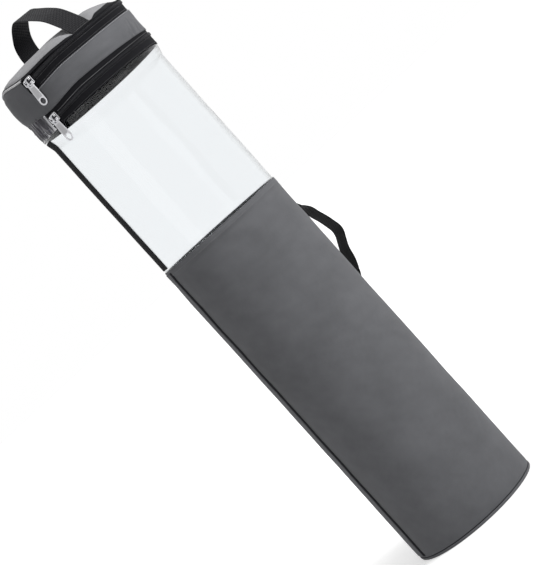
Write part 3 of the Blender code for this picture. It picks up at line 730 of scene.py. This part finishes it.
def coil(name, body, node, chain, park, sign):
    """One side of a zipper's coil: a flattened helix of wire whose loops reach between the other side's."""
    radius = COIL_RADIUS - MM
    half = row_half(park)
    turns = round(2 * half * radius / COIL_PITCH)
    points = []
    for i in range(turns * COIL_STEPS + 1):
        turn = i / COIL_STEPS
        angle = HANDLE_SIDE - half + 2 * half * (turn + 0.25 * sign) / turns
        swing = 2 * pi * turn
        height = chain + sign * (LOOP_MIDDLE - LOOP_REACH * cos(swing))
        points.append(bag_point(angle, radius + LOOP_DEPTH * sin(swing), height))
    settle(cord(name, points, COIL_WIRE, 1), body, [node], "zipper_coil")


def tape_relief(angle, radius, height):
    return 0.2 * MM * ripple(angle, height, 18 * MM, 30 * MM, 4.0), 0


def zip_stop(name, body, node):
    """A small crimped metal block, rounded all over."""
    lowest, highest = (Vector(corner) for corner in box(node))
    centre = (lowest + highest) / 2
    turn = Matrix.Rotation(atan2(centre.y, centre.x), 4, "Z")
    solid = bmesh.new()
    bmesh.ops.create_cube(solid, size=1)
    bmesh.ops.scale(solid, vec=(2.0 * MM, 1.6 * MM, highest.z - lowest.z), verts=solid.verts)
    bmesh.ops.bevel(solid, geom=solid.edges, offset=0.35 * MM, segments=3, affect="EDGES", profile=0.5)
    bmesh.ops.transform(solid, matrix=Matrix.Translation(centre) @ turn, verts=solid.verts)
    for face in solid.faces:
        face.smooth = True
    settle(piece_from(name, solid), body, [node], "zipper_metal")


def zippers():
    for name, lower_body, upper_body, chain, park in (
        ("lid", "tube", "lid", LID_CHAIN, LID_PARK),
        ("pocket", "lid", "flap", POCKET_CHAIN, POCKET_PARK),
    ):
        coil(f"{name}_zip_lower_loops", lower_body, f"{name}_zip_lower_coil", chain, park, -1)
        coil(f"{name}_zip_upper_loops", upper_body, f"{name}_zip_upper_coil", chain, park, 1)
        for end in ("start", "end"):
            zip_stop(f"{name}_zip_{end}_crimp", lower_body, f"{name}_zip_{end}_stop")
    lid_half = pi - LID_GUSSET_HALF - FIT / TAPE_RADIUS
    pocket_half = pi - BACK_HALF
    lid_row = row_half(LID_PARK)
    pocket_row = row_half(POCKET_PARK)
    fold = high("pocket_zip_upper_tape")
    turned_in = [(TAPE_RADIUS - inwards * MM, fold) for inwards in (9, 4, 1)]
    for name, body, top, bottom, half, first in (
        ("lid_zip_lower", "tube", LID_CHAIN - CHAIN_GAP, BAND_BOTTOM, lid_half, []),
        ("lid_zip_upper", "lid", high("lid_zip_upper_tape"), LID_CHAIN + CHAIN_GAP, lid_half, []),
        ("pocket_zip_lower", "lid", POCKET_CHAIN - CHAIN_GAP, low("pocket_zip_lower_tape"), pocket_half, []),
        ("pocket_zip_upper", "flap", fold - 0.6 * MM, POCKET_CHAIN + CHAIN_GAP, pocket_row, turned_in),
    ):
        outline = first + dense([(TAPE_RADIUS, top), (TAPE_RADIUS, bottom)], 2.5 * MM)
        band = turned(f"{name}_band", outline, 0.9 * MM, tape_relief, HANDLE_SIDE, half, 220)
        settle(band, body, [f"{name}_tape"], "black_fabric")
    for name, body, height, half in (
        ("lid_zip_lower_edge", "tube", BAND_BOTTOM + 3 * MM, lid_half),
        ("lid_zip_lower_coil", "tube", LID_CHAIN - 5 * MM, lid_half),
        ("lid_zip_upper_coil", "lid", LID_CHAIN + 5 * MM, lid_row),
        ("pocket_zip_lower_coil", "lid", POCKET_CHAIN - 5 * MM, pocket_row),
        ("pocket_zip_lower_edge", "lid", WALL_TOP + 3 * MM, pocket_row),
    ):
        stitch_ring(f"{name}_stitches", body, TAPE_RADIUS + 0.15 * MM, height, HANDLE_SIDE, half - END_MARGIN,
                    TAPE_THREAD, tape_relief, 2.4 * MM)


# The gusset

# Each fold's place round the bag and half width, in degrees, and its depth in millimetres
FILM_FOLDS = (
    (70, 2.0, 2.6), (76, 1.6, -2.4), (82, 2.0, 3.0), (87, 1.4, 2.6), (92, 1.8, -3.2), (97, 1.4, 4.2),
    (100, 1.3, -3.2), (108, 1.6, 2.6), (112, 1.2, -1.8),
)


def fold_at(angle, side, half, depth):
    """How far out a fold stands at an angle. The fold's place and half width are in degrees."""
    turn = (angle - radians(side) + pi) % (2 * pi) - pi
    return depth * MM * exp(-(turn / radians(half)) ** 2)


def gusset():
    """Clear film on the hinge side, crumpled where it folds between the tube's mouth and the lid."""
    bottom = low("mouth_gusset")
    top = high("lid_gusset")

    def relief(angle, radius, height):
        along = angle + 0.02 * ripple(angle, height, 40 * MM, 20 * MM, 9.0)
        folds = sum(fold_at(along, *fold) for fold in FILM_FOLDS)
        creases = 1.0 * MM * ripple(along, height, 7 * MM, 30 * MM, 4.0)
        return (folds + creases - 0.8 * MM) * loose(height, bottom, top, 7 * MM, 7 * MM), 0

    outline = dense([(TAPE_RADIUS, top), (TAPE_RADIUS, bottom)], 1.5 * MM)
    piece = turned("hinge_gusset_film", outline, 0.5 * MM, relief, HINGE_SIDE, LID_GUSSET_HALF, 120)
    # The crumpled film carries painted shade and painted highlights in its colour.
    settle(piece, None, ["mouth_gusset", "lid_gusset"], "clear_film", FOLDED_FILM_PAINTED_LIGHT)
    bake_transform(piece)


# The lid

FOLD = 1.0 * MM
FULLNESS = 1.3 * MM
# The wall is drawn in on one side
TIGHTNESS = 2.2 * MM
TIGHT_ARC = (245, 40)
# It is held flat behind the pocket's slider
FLATNESS = 0.85
FLAT_ARC = (120, 11.2, 7)
# Each crease's start on the lower seam and half width, in degrees, its depth in millimetres and the share of
# the wall's height that it reaches. On the way up it moves round by the slant, in degrees.
WALL_CREASES = (
    (198, 2.6, -1.4, 0.7), (204.5, 1.4, -1.8, 0.6), (207.3, 1.2, 2.6, 0.8), (210.3, 0.9, -2.6, 0.9),
    (213, 1.3, 1.8, 0.8), (219, 1.8, -1.8, 0.7), (225, 1.6, -1.6, 0.7), (251, 2.2, -1.8, 0.8),
    (310, 2.4, -1.8, 0.7),
)
CREASE_SLANT = 7


def wall_top(angle):
    """The wall ends under the pocket's zipper, and goes on up to the rim on the hinge side."""
    return RIM if turn_between(angle, HINGE_SIDE) < BACK_HALF - STEP_MARGIN else WALL_TOP


def lid_relief(angle, radius, height):
    """The wall is full between its seams, with creases that rise from the lower one."""
    share = min(max((height - WALL_BOTTOM) / (RIM - WALL_BOTTOM), 0), 1)
    arch = sin(pi * share)
    full = (FULLNESS - TIGHTNESS * near(angle, *TIGHT_ARC)) * arch
    soft = 1.3 * MM * ripple(angle + 0.3 * share, height, 40 * MM, 40 * MM, 1.0)
    creases = sum(
        fold_at(angle, side + CREASE_SLANT * share, half, depth) * ease((reach - share) / reach)
        for side, half, depth, reach in WALL_CREASES
    )
    held = 1 - FLATNESS * near(angle, *FLAT_ARC)
    return (full + soft + creases) * arch ** 0.4 * held, (wall_top(angle) - RIM) * share


def lid_wall():
    face = LID - 0.2 * MM
    outline = folded_edge(LID, RIM, FOLD, True)
    outline += dense([(face, RIM - 2.4 * MM), (face, WALL_BOTTOM + 2.4 * MM)], 2 * MM)
    outline += folded_edge(LID, WALL_BOTTOM, FOLD, False)
    piece = turned("lid_wall_cloth", outline, 1.0 * MM, lid_relief, columns=540)
    settle(piece, "lid", ["lid_wall", "pocket_back_panel"], "grey_fabric")

    def on_wall(angle, radius, height):
        share = (height - WALL_BOTTOM) / (WALL_TOP - WALL_BOTTOM)
        return lid_relief(angle, radius, WALL_BOTTOM + share * (RIM - WALL_BOTTOM))[0], 0

    stitch_ring("lid_wall_top_stitches", "lid", LID + 0.2 * MM, WALL_TOP - 1.4 * MM, HANDLE_SIDE,
                pi - BACK_HALF - END_MARGIN, PALE_THREAD, on_wall, size=0.4 * MM)
    stitch_ring("lid_wall_bottom_stitches", "lid", LID, WALL_BOTTOM + 3 * MM, HANDLE_SIDE, pi, GREY_THREAD,
                on_wall)


def lid_floor():
    edge = radius_of("lid_floor")
    bottom = low("lid_floor")
    top = high("lid_floor")

    def relief(angle, radius, height):
        return 0, 0.8 * MM * ripple(angle, radius, 50 * MM, 60 * MM, 12.0) * (radius < edge - 5 * MM)

    outline = dense([(edge, top), (edge, bottom + 2 * MM), (edge - 2 * MM, bottom), (0, bottom)], 6 * MM)
    piece = turned("lid_floor_cloth", outline, 1.2 * MM, relief, columns=160)
    settle(piece, "lid", ["lid_floor"], "black_fabric")


# The top panel

PANEL = radius_of("top_panel")
PILLOW = 19.5 * MM
PEAK_OUT = 30 * MM
PEAK_SIDE = radians(245)
# The pillow falls by its flat shares over this arc, and by its full ones beyond it
PEAK_ARC = (245, 90)
# The handle presses the panel over this half width, and the pressing fades over the next stretch
PRESSED = 15 * MM
PRESSED_FADE = 22 * MM
# Out from the pillow's peak to the panel's edge, and down from the peak to the edge
FULL_SHARES = (
    (0, 1), (0.2, 0.97), (0.36, 0.89), (0.65, 0.71), (0.88, 0.52), (0.95, 0.36), (1, 0),
)
FLAT_SHARES = (
    (0, 1), (0.25, 0.99), (0.41, 0.94), (0.54, 0.78), (0.67, 0.56), (0.8, 0.34), (0.9, 0.16), (1, 0),
)
FOOT_SHARES = (
    (0, 1), (0.25, 0.93), (0.45, 0.78), (0.63, 0.48), (0.76, 0.22), (0.86, 0.09), (0.93, 0.02), (1, 0),
)


def on_shares(shares, out):
    """The second share at a first share of out, on the straight lines between the points given."""
    for (a, p), (b, q) in zip(shares, shares[1:]):
        if out <= b:
            return p + (q - p) * (out - a) / (b - a)
    return shares[-1][1]


def from_peak(angle, radius):
    """How far out from the pillow's peak a point of the panel is, as a share of the way to the edge."""
    peak = PEAK_OUT * Vector((cos(PEAK_SIDE), sin(PEAK_SIDE)))
    away = radius * Vector((cos(angle), sin(angle))) - peak
    if away.length < MM:
        return 0
    along = peak.dot(away.normalized())
    return min(away.length / (sqrt(along ** 2 + PANEL ** 2 - PEAK_OUT ** 2) - along), 1)


def panel_height(angle, radius):
    """The panel is a pillow that the handle's two feet press flat on the rim."""
    out = min(radius / PANEL, 1)
    across = abs(sin(angle)) * radius
    pressed = ease(1 - (across - PRESSED) / PRESSED_FADE)
    away = from_peak(angle, radius)
    flat = near(angle, *PEAK_ARC)
    pillow = on_shares(FULL_SHARES, away) * (1 - flat) + on_shares(FLAT_SHARES, away) * flat
    share = pillow * (1 - pressed) + on_shares(FOOT_SHARES, out) * pressed
    gather = 0.8 * MM * ripple(angle, 0, 15 * MM, 40 * MM, 13.0) * sin(pi * out) * out
    soft = 1.2 * MM * ripple(angle, radius, 40 * MM, 60 * MM, 14.0) * (1 - out)
    return PILLOW * share + (gather + soft) * (1 - pressed)


def top_panel():
    edge = PANEL_EDGE - 0.1 * MM

    def relief(angle, radius, height):
        return 0, panel_height(angle, radius)

    steep = 0.8 * PANEL
    outline = dense([(0, edge), (steep, edge)], 6 * MM)[:-1] + dense([(steep, edge), (PANEL, edge)], 1.5 * MM)
    piece = turned("top_panel_cloth", outline, 1.1 * MM, relief)
    settle(piece, "flap", ["top_panel"], "light_fabric")
    # A thin black cord above the piping cord: a painted shadow line along the hinge edge.
    seam = ring("hinge_edge_painted_shadow", PANEL - 1.2 * MM, edge + 0.17 * PILLOW, 0.9 * MM, HINGE_SIDE, PIPING_HALF)
    settle(seam, "flap", finish=BLACK_THREAD)


BORDER = 17 * MM
BORDER_ARC = (255, 95)
NARROWEST = 0.2


def piping():
    """The roll along the panel's hinge edge, and the black tape that binds the rest and laps over its top."""
    middle_height = (low("hinge_piping") + high("hinge_piping")) / 2
    centre = radius_of("top_binding") - 1.1 * MM
    bound_half = pi - PIPING_HALF - BINDING_MARGIN
    cord_height = middle_height + 0.2 * MM
    # The cord is light fabric whose extra paleness is a painted highlight on the rolled edge.
    roll = ring("hinge_piping_cord", centre - 0.6 * MM, cord_height, 1.6 * MM, HINGE_SIDE, PIPING_HALF)
    settle(roll, "flap", ["hinge_piping"], "light_fabric", PIPING_PAINTED_HIGHLIGHT)
    edge = ring("top_binding_cord", centre, middle_height, 1.2 * MM, HANDLE_SIDE, bound_half)
    settle(edge, "flap", ["top_binding"], "black_fabric")

    def lapped(angle, radius, height):
        share = (PANEL - radius) / BORDER
        width = BORDER * (NARROWEST + (1 - NARROWEST) * near(angle, *BORDER_ARC))
        out = PANEL - width * share - radius
        return out, panel_height(angle, radius + out) + 0.5 * MM

    outline = dense([(PANEL - BORDER, PANEL_EDGE), (PANEL, PANEL_EDGE)], 1.5 * MM)
    lap = turned("top_binding_lap", outline, 0.6 * MM, lapped, HANDLE_SIDE, bound_half, 220)
    settle(lap, "flap", slot="black_fabric")


# Webbing

WEBBING = 1.6 * MM
HALF_WIDTH = box("top_handle")[1][1]
RIBS = 9
RIB_HEIGHT = 0.14 * MM
SELVEDGE = 0.06
# Along half the top handle's span and up its arch, then out along the side handle's arch and up its span
TOP_HANDLE_SHARES = (
    (-1, 0), (-0.99, 0.07), (-0.93, 0.14), (-0.80, 0.20), (-0.62, 0.31), (-0.33, 0.59), (0, 0.83),
    (0.16, 0.95), (0.30, 1), (0.45, 0.95), (0.62, 0.83), (0.86, 0.58), (0.97, 0.30), (1, 0),
)
FRONT_JOIN = -0.7
SIDE_HANDLE_SHARES = (
    (0, 0), (0, 0.015), (0.03, 0.035), (0.15, 0.075), (0.35, 0.17), (0.50, 0.29), (0.76, 0.39),
    (0.95, 0.46), (1, 0.53), (0.91, 0.61), (0.78, 0.70), (0.60, 0.79), (0.42, 0.89), (0.15, 0.955),
    (0.02, 0.975), (0, 0.985), (0, 1),
)


def smooth_route(points, steps=6):
    """A smooth curve through the points."""
    ends = [points[0]] + list(points) + [points[-1]]
    route = []
    for a, b, c, d in zip(ends, ends[1:], ends[2:], ends[3:]):
        for i in range(steps):
            t = i / steps
            route.append(tuple(
                0.5 * (2 * q + (r - p) * t + (2 * p - 5 * q + 4 * r - s) * t ** 2
                       + (3 * q - p - 3 * r + s) * t ** 3)
                for p, q, r, s in zip(a, b, c, d)
            ))
    return route + [tuple(points[-1])]


def webbing_section():
    """(share of the half width, height) round a strap's section: ribs on both faces and round selvedges."""
    steps = RIBS * 4
    face = []
    for i in range(steps + 1):
        share = -1 + 2 * i / steps
        beyond = max(abs(share) - (1 - SELVEDGE), 0) / SELVEDGE
        edge = sqrt(max(1 - beyond ** 2, 0))
        rib = RIB_HEIGHT * cos(pi * RIBS * (share + 1))
        face.append((share, (WEBBING / 2 - RIB_HEIGHT + rib) * max(edge, 0.25)))
    return face + [(share, -height) for share, height in reversed(face)]


def strap(name, route, turn, nodes):
    """Webbing along a route of (out, height), turned about the bag's axis."""
    section = webbing_section()
    lengths = lengths_along(route)
    solid = bmesh.new()
    rows = []
    for i, spot in enumerate(route):
        before = Vector(route[max(i - 1, 0)])
        after = Vector(route[min(i + 1, len(route) - 1)])
        along = (after - before).normalized()
        face = Vector((along.y, -along.x))
        row = []
        for share, lift in section:
            out, height = Vector(spot) + face * lift
            row.append(solid.verts.new((out, HALF_WIDTH * share, height)))
        rows.append(row)
    count = len(section)

    def place(column, row):
        return section[column % count][0] * HALF_WIDTH, lengths[row]

    skin(solid, rows, count, ((0, 0), (1, 0), (1, 1), (0, 1)), place)
    solid.faces.new(rows[0][::-1])
    solid.faces.new(rows[-1])
    bmesh.ops.recalc_face_normals(solid, faces=solid.faces)
    bmesh.ops.transform(solid, matrix=Matrix.Rotation(turn, 4, "Z"), verts=solid.verts)
    return settle(piece_from(name, solid), None, nodes, "webbing")


def top_handle():
    """The strap leaves the panel at a slant in front and straight up at the rear."""
    rear = box("top_handle_rear_end")
    foot = rear[1][0]
    seat = rear[0][2] + WEBBING / 2
    span = box("top_handle")[1][0] - WEBBING / 2
    arch_foot = rear[1][2] - 3 * MM
    arch = high("top_handle") - WEBBING / 2 - arch_foot
    middle = [(span * along, arch_foot + arch * up) for along, up in TOP_HANDLE_SHARES if along > FRONT_JOIN]
    front = [(-foot, seat), (-foot + 5 * MM, seat), (-foot + 11 * MM, seat + 2 * MM)]
    back = [(span + 1.5 * MM, seat + 5 * MM), (span + 5 * MM, seat + 0.6 * MM), (foot, seat)]
    nodes = ["top_handle", "top_handle_front_end", "top_handle_rear_end"]
    piece = strap("top_handle_webbing", smooth_route(front + middle + back), 0.0, nodes)
    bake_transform(piece)
    reach = HALF_WIDTH - 2 * MM
    face = seat + WEBBING / 2
    for label, sign in (("front", -1), ("rear", 1)):
        outs = (sign * (foot - 2 * MM), sign * (foot - 5 * MM))
        rows = [(Vector((out, -reach, face)), Vector((out, reach, face))) for out in outs]
        stitch_lines(f"top_handle_{label}_stitches", "flap", rows, UP)


def side_handle():
    """The strap is sewn down with a crossed box at either end, and stands off the sleeve between them."""
    handle = box("side_handle")
    bottom = handle[0][2]
    span = handle[1][2] - bottom
    foot = -box("side_handle_lower_end")[0][1] - WEBBING / 2
    arch = -handle[0][1] - foot - WEBBING / 2
    seat = TUBE + FIT + WEBBING / 2
    ends = [low("side_handle_lower_end"), high("side_handle_upper_end")]
    rise = 11 * MM
    inner_ends = [high("side_handle_lower_end") - rise, low("side_handle_upper_end") + rise]
    lower = [(seat, ends[0]), (seat, (ends[0] + inner_ends[0]) / 2), (seat, inner_ends[0])]
    upper = [(seat, inner_ends[1]), (seat, (ends[1] + inner_ends[1]) / 2), (seat, ends[1])]
    middle = [(foot + arch * out, bottom + span * up) for out, up in SIDE_HANDLE_SHARES[1:-1]]
    nodes = ["side_handle", "side_handle_lower_end", "side_handle_upper_end"]
    piece = strap("side_handle_webbing", smooth_route(lower + middle + upper, 5), HANDLE_SIDE, nodes)
    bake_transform(piece)
    inner = HALF_WIDTH - 3 * MM
    face = -(seat + WEBBING / 2)
    for label, first, last in (("lower", ends[0], inner_ends[0]), ("upper", inner_ends[1], ends[1])):
        start = first + 2.5 * MM
        end = last - 2.5 * MM
        corners = ((-inner, start), (inner, start), (inner, end), (-inner, end))
        a, b, c, d = (Vector((across, face, height)) for across, height in corners)
        lines = ((a, b), (b, c), (c, d), (d, a), (a, c), (b, d))
        stitch_lines(f"side_handle_{label}_stitches", "tube", lines, Vector((0, -1, 0)))


# Sliders and pulls

METAL_ROUNDING = 0.4 * MM
SLIDER_FACE = COIL_RADIUS + FIT + 1.3 * MM
SLIDER_HALF = (high("lid_slider") - low("lid_slider")) / 2
# Where the plates on the face start
SLIDER_SUNK = SLIDER_FACE - 0.2 * MM
RECESS_FACE = SLIDER_FACE + 0.1 * MM
# The recess in the slider's face, covered by a plate painted dark as shade: how far along the zipper its ends
# are, and half its width there
RECESS_FRONT = (8.4 * MM, SLIDER_HALF - 1.5 * MM)
RECESS_REAR = (-8.2 * MM, SLIDER_HALF - 3.0 * MM)
RIB_FACE = SLIDER_FACE + 0.8 * MM
RIB_ROUNDING = 0.2 * MM
RIB_HALF = 0.6 * MM
RIB_INNER = 1.4 * MM
RIB_OUTER = SLIDER_HALF - 1.4 * MM
RIBS_ALONG = (("front", 6.6 * MM), ("middle", 4.2 * MM), ("rear", -5.6 * MM))
PULL_LENGTH = high("lid_pull") - low("lid_pull")
PULL_HALF = 7.7 * MM
PULL_OUT = SLIDER_FACE + 1.15 * MM
PULL_DROP = 2.45 * MM


def metal_copy(name, node, body, held_at):
    """The node's own solid with its edges rounded."""
    solid = bmesh.new()
    solid.from_mesh(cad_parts[node].data)
    bmesh.ops.remove_doubles(solid, verts=solid.verts, dist=0.001 * MM)
    bmesh.ops.dissolve_limit(solid, angle_limit=radians(2), verts=solid.verts, edges=solid.edges)
    piece = piece_from(name, solid)
    rounding = piece.modifiers.new("rounding", "BEVEL")
    rounding.width = METAL_ROUNDING
    rounding.segments = 3
    rounding.limit_method = "ANGLE"
    rounding.angle_limit = radians(25)
    rounding.harden_normals = True
    for face in piece.data.polygons:
        face.use_smooth = True
    settle(piece, body, [node], "zipper_metal", held_at=held_at)


def plate(name, outline, inner, outer, edge, place, body, finish, held_at):
    """A flat plate. The outline is (along, up) in its place's frame, and its edges are rounded by edge."""
    solid = bmesh.new()
    face = solid.faces.new([solid.verts.new((inner, along, up)) for along, up in outline])
    grown = bmesh.ops.extrude_face_region(solid, geom=[face])
    moved = [item for item in grown["geom"] if isinstance(item, bmesh.types.BMVert)]
    bmesh.ops.translate(solid, vec=(outer - inner, 0, 0), verts=moved)
    bmesh.ops.recalc_face_normals(solid, faces=solid.faces)
    if edge:
        bmesh.ops.bevel(solid, geom=solid.edges, offset=edge, segments=2, affect="EDGES", profile=0.5)
    bmesh.ops.transform(solid, matrix=place, verts=solid.verts)
    settle(piece_from(name, solid), body, finish=finish, held_at=held_at)


def slider(name, place, held_at):
    """A zipper's slider, with a recess and ribs on its face: a dark plate in the recess is painted shade, and
    the bright ribs are painted highlights.
    """
    body = f"{name}_slider"
    metal_copy(f"{name}_slider_body", body, body, held_at)
    front, front_half = RECESS_FRONT
    rear, rear_half = RECESS_REAR
    recess = [(front, -front_half), (front, front_half), (rear, rear_half), (rear, -rear_half)]
    # A dark plate over the recess: painted shade.
    plate(f"{name}_slider_recess_painted_shade", recess, SLIDER_SUNK, RECESS_FACE, 0, place, body, RECESS_PAINTED_SHADE, held_at)
    for label, along in RIBS_ALONG:
        for side, sign in (("upper", 1), ("lower", -1)):
            rear, front = along - RIB_HALF, along + RIB_HALF
            outer, inner = sign * RIB_OUTER, sign * RIB_INNER
            rib = [(rear, outer), (front, outer), (front, inner), (rear, inner)][::-sign]
            # Each rib is painted bright as a highlight.
            plate(f"{name}_slider_{label}_{side}_rib", rib, SLIDER_SUNK, RIB_FACE, RIB_ROUNDING, place, body,
                  RIB_PAINTED_HIGHLIGHT, held_at)


def pull(name, place, held_at, lean):
    """A zipper's pull, with a darker panel on its face."""
    body = f"{name}_pull"
    metal_copy(f"{name}_pull_body", body, body, held_at)
    hang = place @ Matrix.Translation((PULL_OUT, 0, -PULL_DROP)) @ Matrix.Rotation(lean, 4, "X")
    top = -8 * MM
    bottom = -PULL_LENGTH + 2.1 * PULL_HALF
    tip = bottom - 1.2 * MM
    wide = PULL_HALF - 2 * MM
    narrow = wide - MM
    inset = [(-narrow, top), (narrow, top), (wide, bottom)]
    inset += [(0.6 * wide, tip), (-0.6 * wide, tip), (-wide, bottom)]
    plate(f"{name}_pull_face", inset, 0.5 * MM, 0.78 * MM, 0, hang, body, PULL_FACE, held_at)


def sliders():
    for name, chain, park, lean in (
        ("lid", LID_CHAIN, LID_PARK, 0.0),
        ("pocket", POCKET_CHAIN, POCKET_PARK, radians(-3)),
    ):
        # X out of the bag, Y along the zipper and Z up, from the bag's axis
        place = Matrix.Translation((0, 0, chain)) @ Matrix.Rotation(HINGE_SIDE + park, 4, "Z")
        held_at = place @ Vector((COIL_RADIUS, 0, 0))
        slider(name, place, held_at)
        pull(name, place, held_at, lean)


# The studio

TOWARDS = outwards(VIEW_SIDE)
RIGHT = UP.cross(TOWARDS)
VIEW_DISTANCE = 3.34
VIEW_HEIGHT = 0.70
AIM_HEIGHT = 0.509
AIM_ASIDE = -4.9 * MM
VIEW_ROLL = radians(41.94)
LENS = 131.0
LAMP_AIM = 0.6
AMBIENT = 0.27
# The floor glows more the further it is from the bag, so it is white at the picture's edge
GROUND = (0.86, 0.86, 0.86, 1)
GLOW_FROM = 0.2
GLOW_TO = 0.9
LEAST_GLOW = 0.45


def camera():
    data = bpy.data.cameras.new("camera")
    data.lens = LENS
    data.sensor_width = 36.0
    data.clip_end = 50.0
    eye = new_piece("camera", data)
    eye.location = TOWARDS * VIEW_DISTANCE + UP * VIEW_HEIGHT
    aim = RIGHT * AIM_ASIDE + UP * AIM_HEIGHT
    level = (aim - eye.location).to_track_quat("-Z", "Y")
    eye.rotation_mode = "QUATERNION"
    eye.rotation_quaternion = level @ Quaternion((0, 0, 1), -VIEW_ROLL)
    bpy.context.scene.camera = eye


def lamp(name, aside, forward, height, size, power):
    """An area lamp, placed from the camera's view: aside to its right, and forward towards it."""
    data = bpy.data.lights.new(name, "AREA")
    data.shape = "RECTANGLE"
    data.size, data.size_y = size
    data.energy = power
    light = new_piece(name, data)
    light.location = TOWARDS * forward + RIGHT * aside + UP * height
    light.rotation_mode = "QUATERNION"
    light.rotation_quaternion = (UP * LAMP_AIM - light.location).to_track_quat("-Z", "Y")


def seen_directly(tree):
    """1 for what the camera sees directly, in a reflection or through film, and 0 for light on the part."""
    path = tree.nodes.new("ShaderNodeLightPath")
    seen = path.outputs["Is Camera Ray"]
    for ray in ("Is Glossy Ray", "Is Transmission Ray"):
        either = tree.nodes.new("ShaderNodeMath")
        either.operation = "MAXIMUM"
        tree.links.new(seen, either.inputs[0])
        tree.links.new(path.outputs[ray], either.inputs[1])
        seen = either.outputs[0]
    return seen


def studio():
    world = bpy.data.worlds.new("studio")
    bpy.context.scene.world = world
    world.use_nodes = True
    tree = world.node_tree
    sky = tree.nodes["Background"]
    sky.inputs["Color"].default_value = (1, 1, 1, 1)
    strength = tree.nodes.new("ShaderNodeMapRange")
    tree.links.new(seen_directly(tree), strength.inputs["Value"])
    strength.inputs["To Min"].default_value = AMBIENT
    strength.inputs["To Max"].default_value = 1.0
    tree.links.new(strength.outputs[0], sky.inputs["Strength"])

    solid = bmesh.new()
    bmesh.ops.create_grid(solid, x_segments=1, y_segments=1, size=20)
    floor = piece_from("floor", solid)
    nodes = Nodes("floor", "Object", Roughness=0.9, Base_Color=GROUND, Emission_Color=(1, 1, 1, 1))
    away = nodes.add("VectorMath", {0: nodes.place}, output="Value", operation="LENGTH")
    glow = nodes.spread(away, GLOW_FROM, GLOW_TO, LEAST_GLOW, 1.0)
    nodes.surface(Emission_Strength=nodes.math("MULTIPLY", seen_directly(nodes.tree), glow))
    floor.data.materials.append(nodes.material)

    lamp("key", 2.1, 1.6, 2.0, (1.2, 1.6), 62)
    lamp("fill", -1.9, 2.2, 1.2, (1.4, 1.8), 8)
    lamp("top", 0.2, 0.2, 3.0, (1.6, 1.6), 26)
    bpy.context.scene.view_settings.view_transform = "Standard"


camera()
studio()
base()
sleeve()
sleeve_seam()
window()
zippers()
lid_wall()
lid_floor()
top_panel()
piping()
top_handle()
side_handle()
sliders()
gusset()
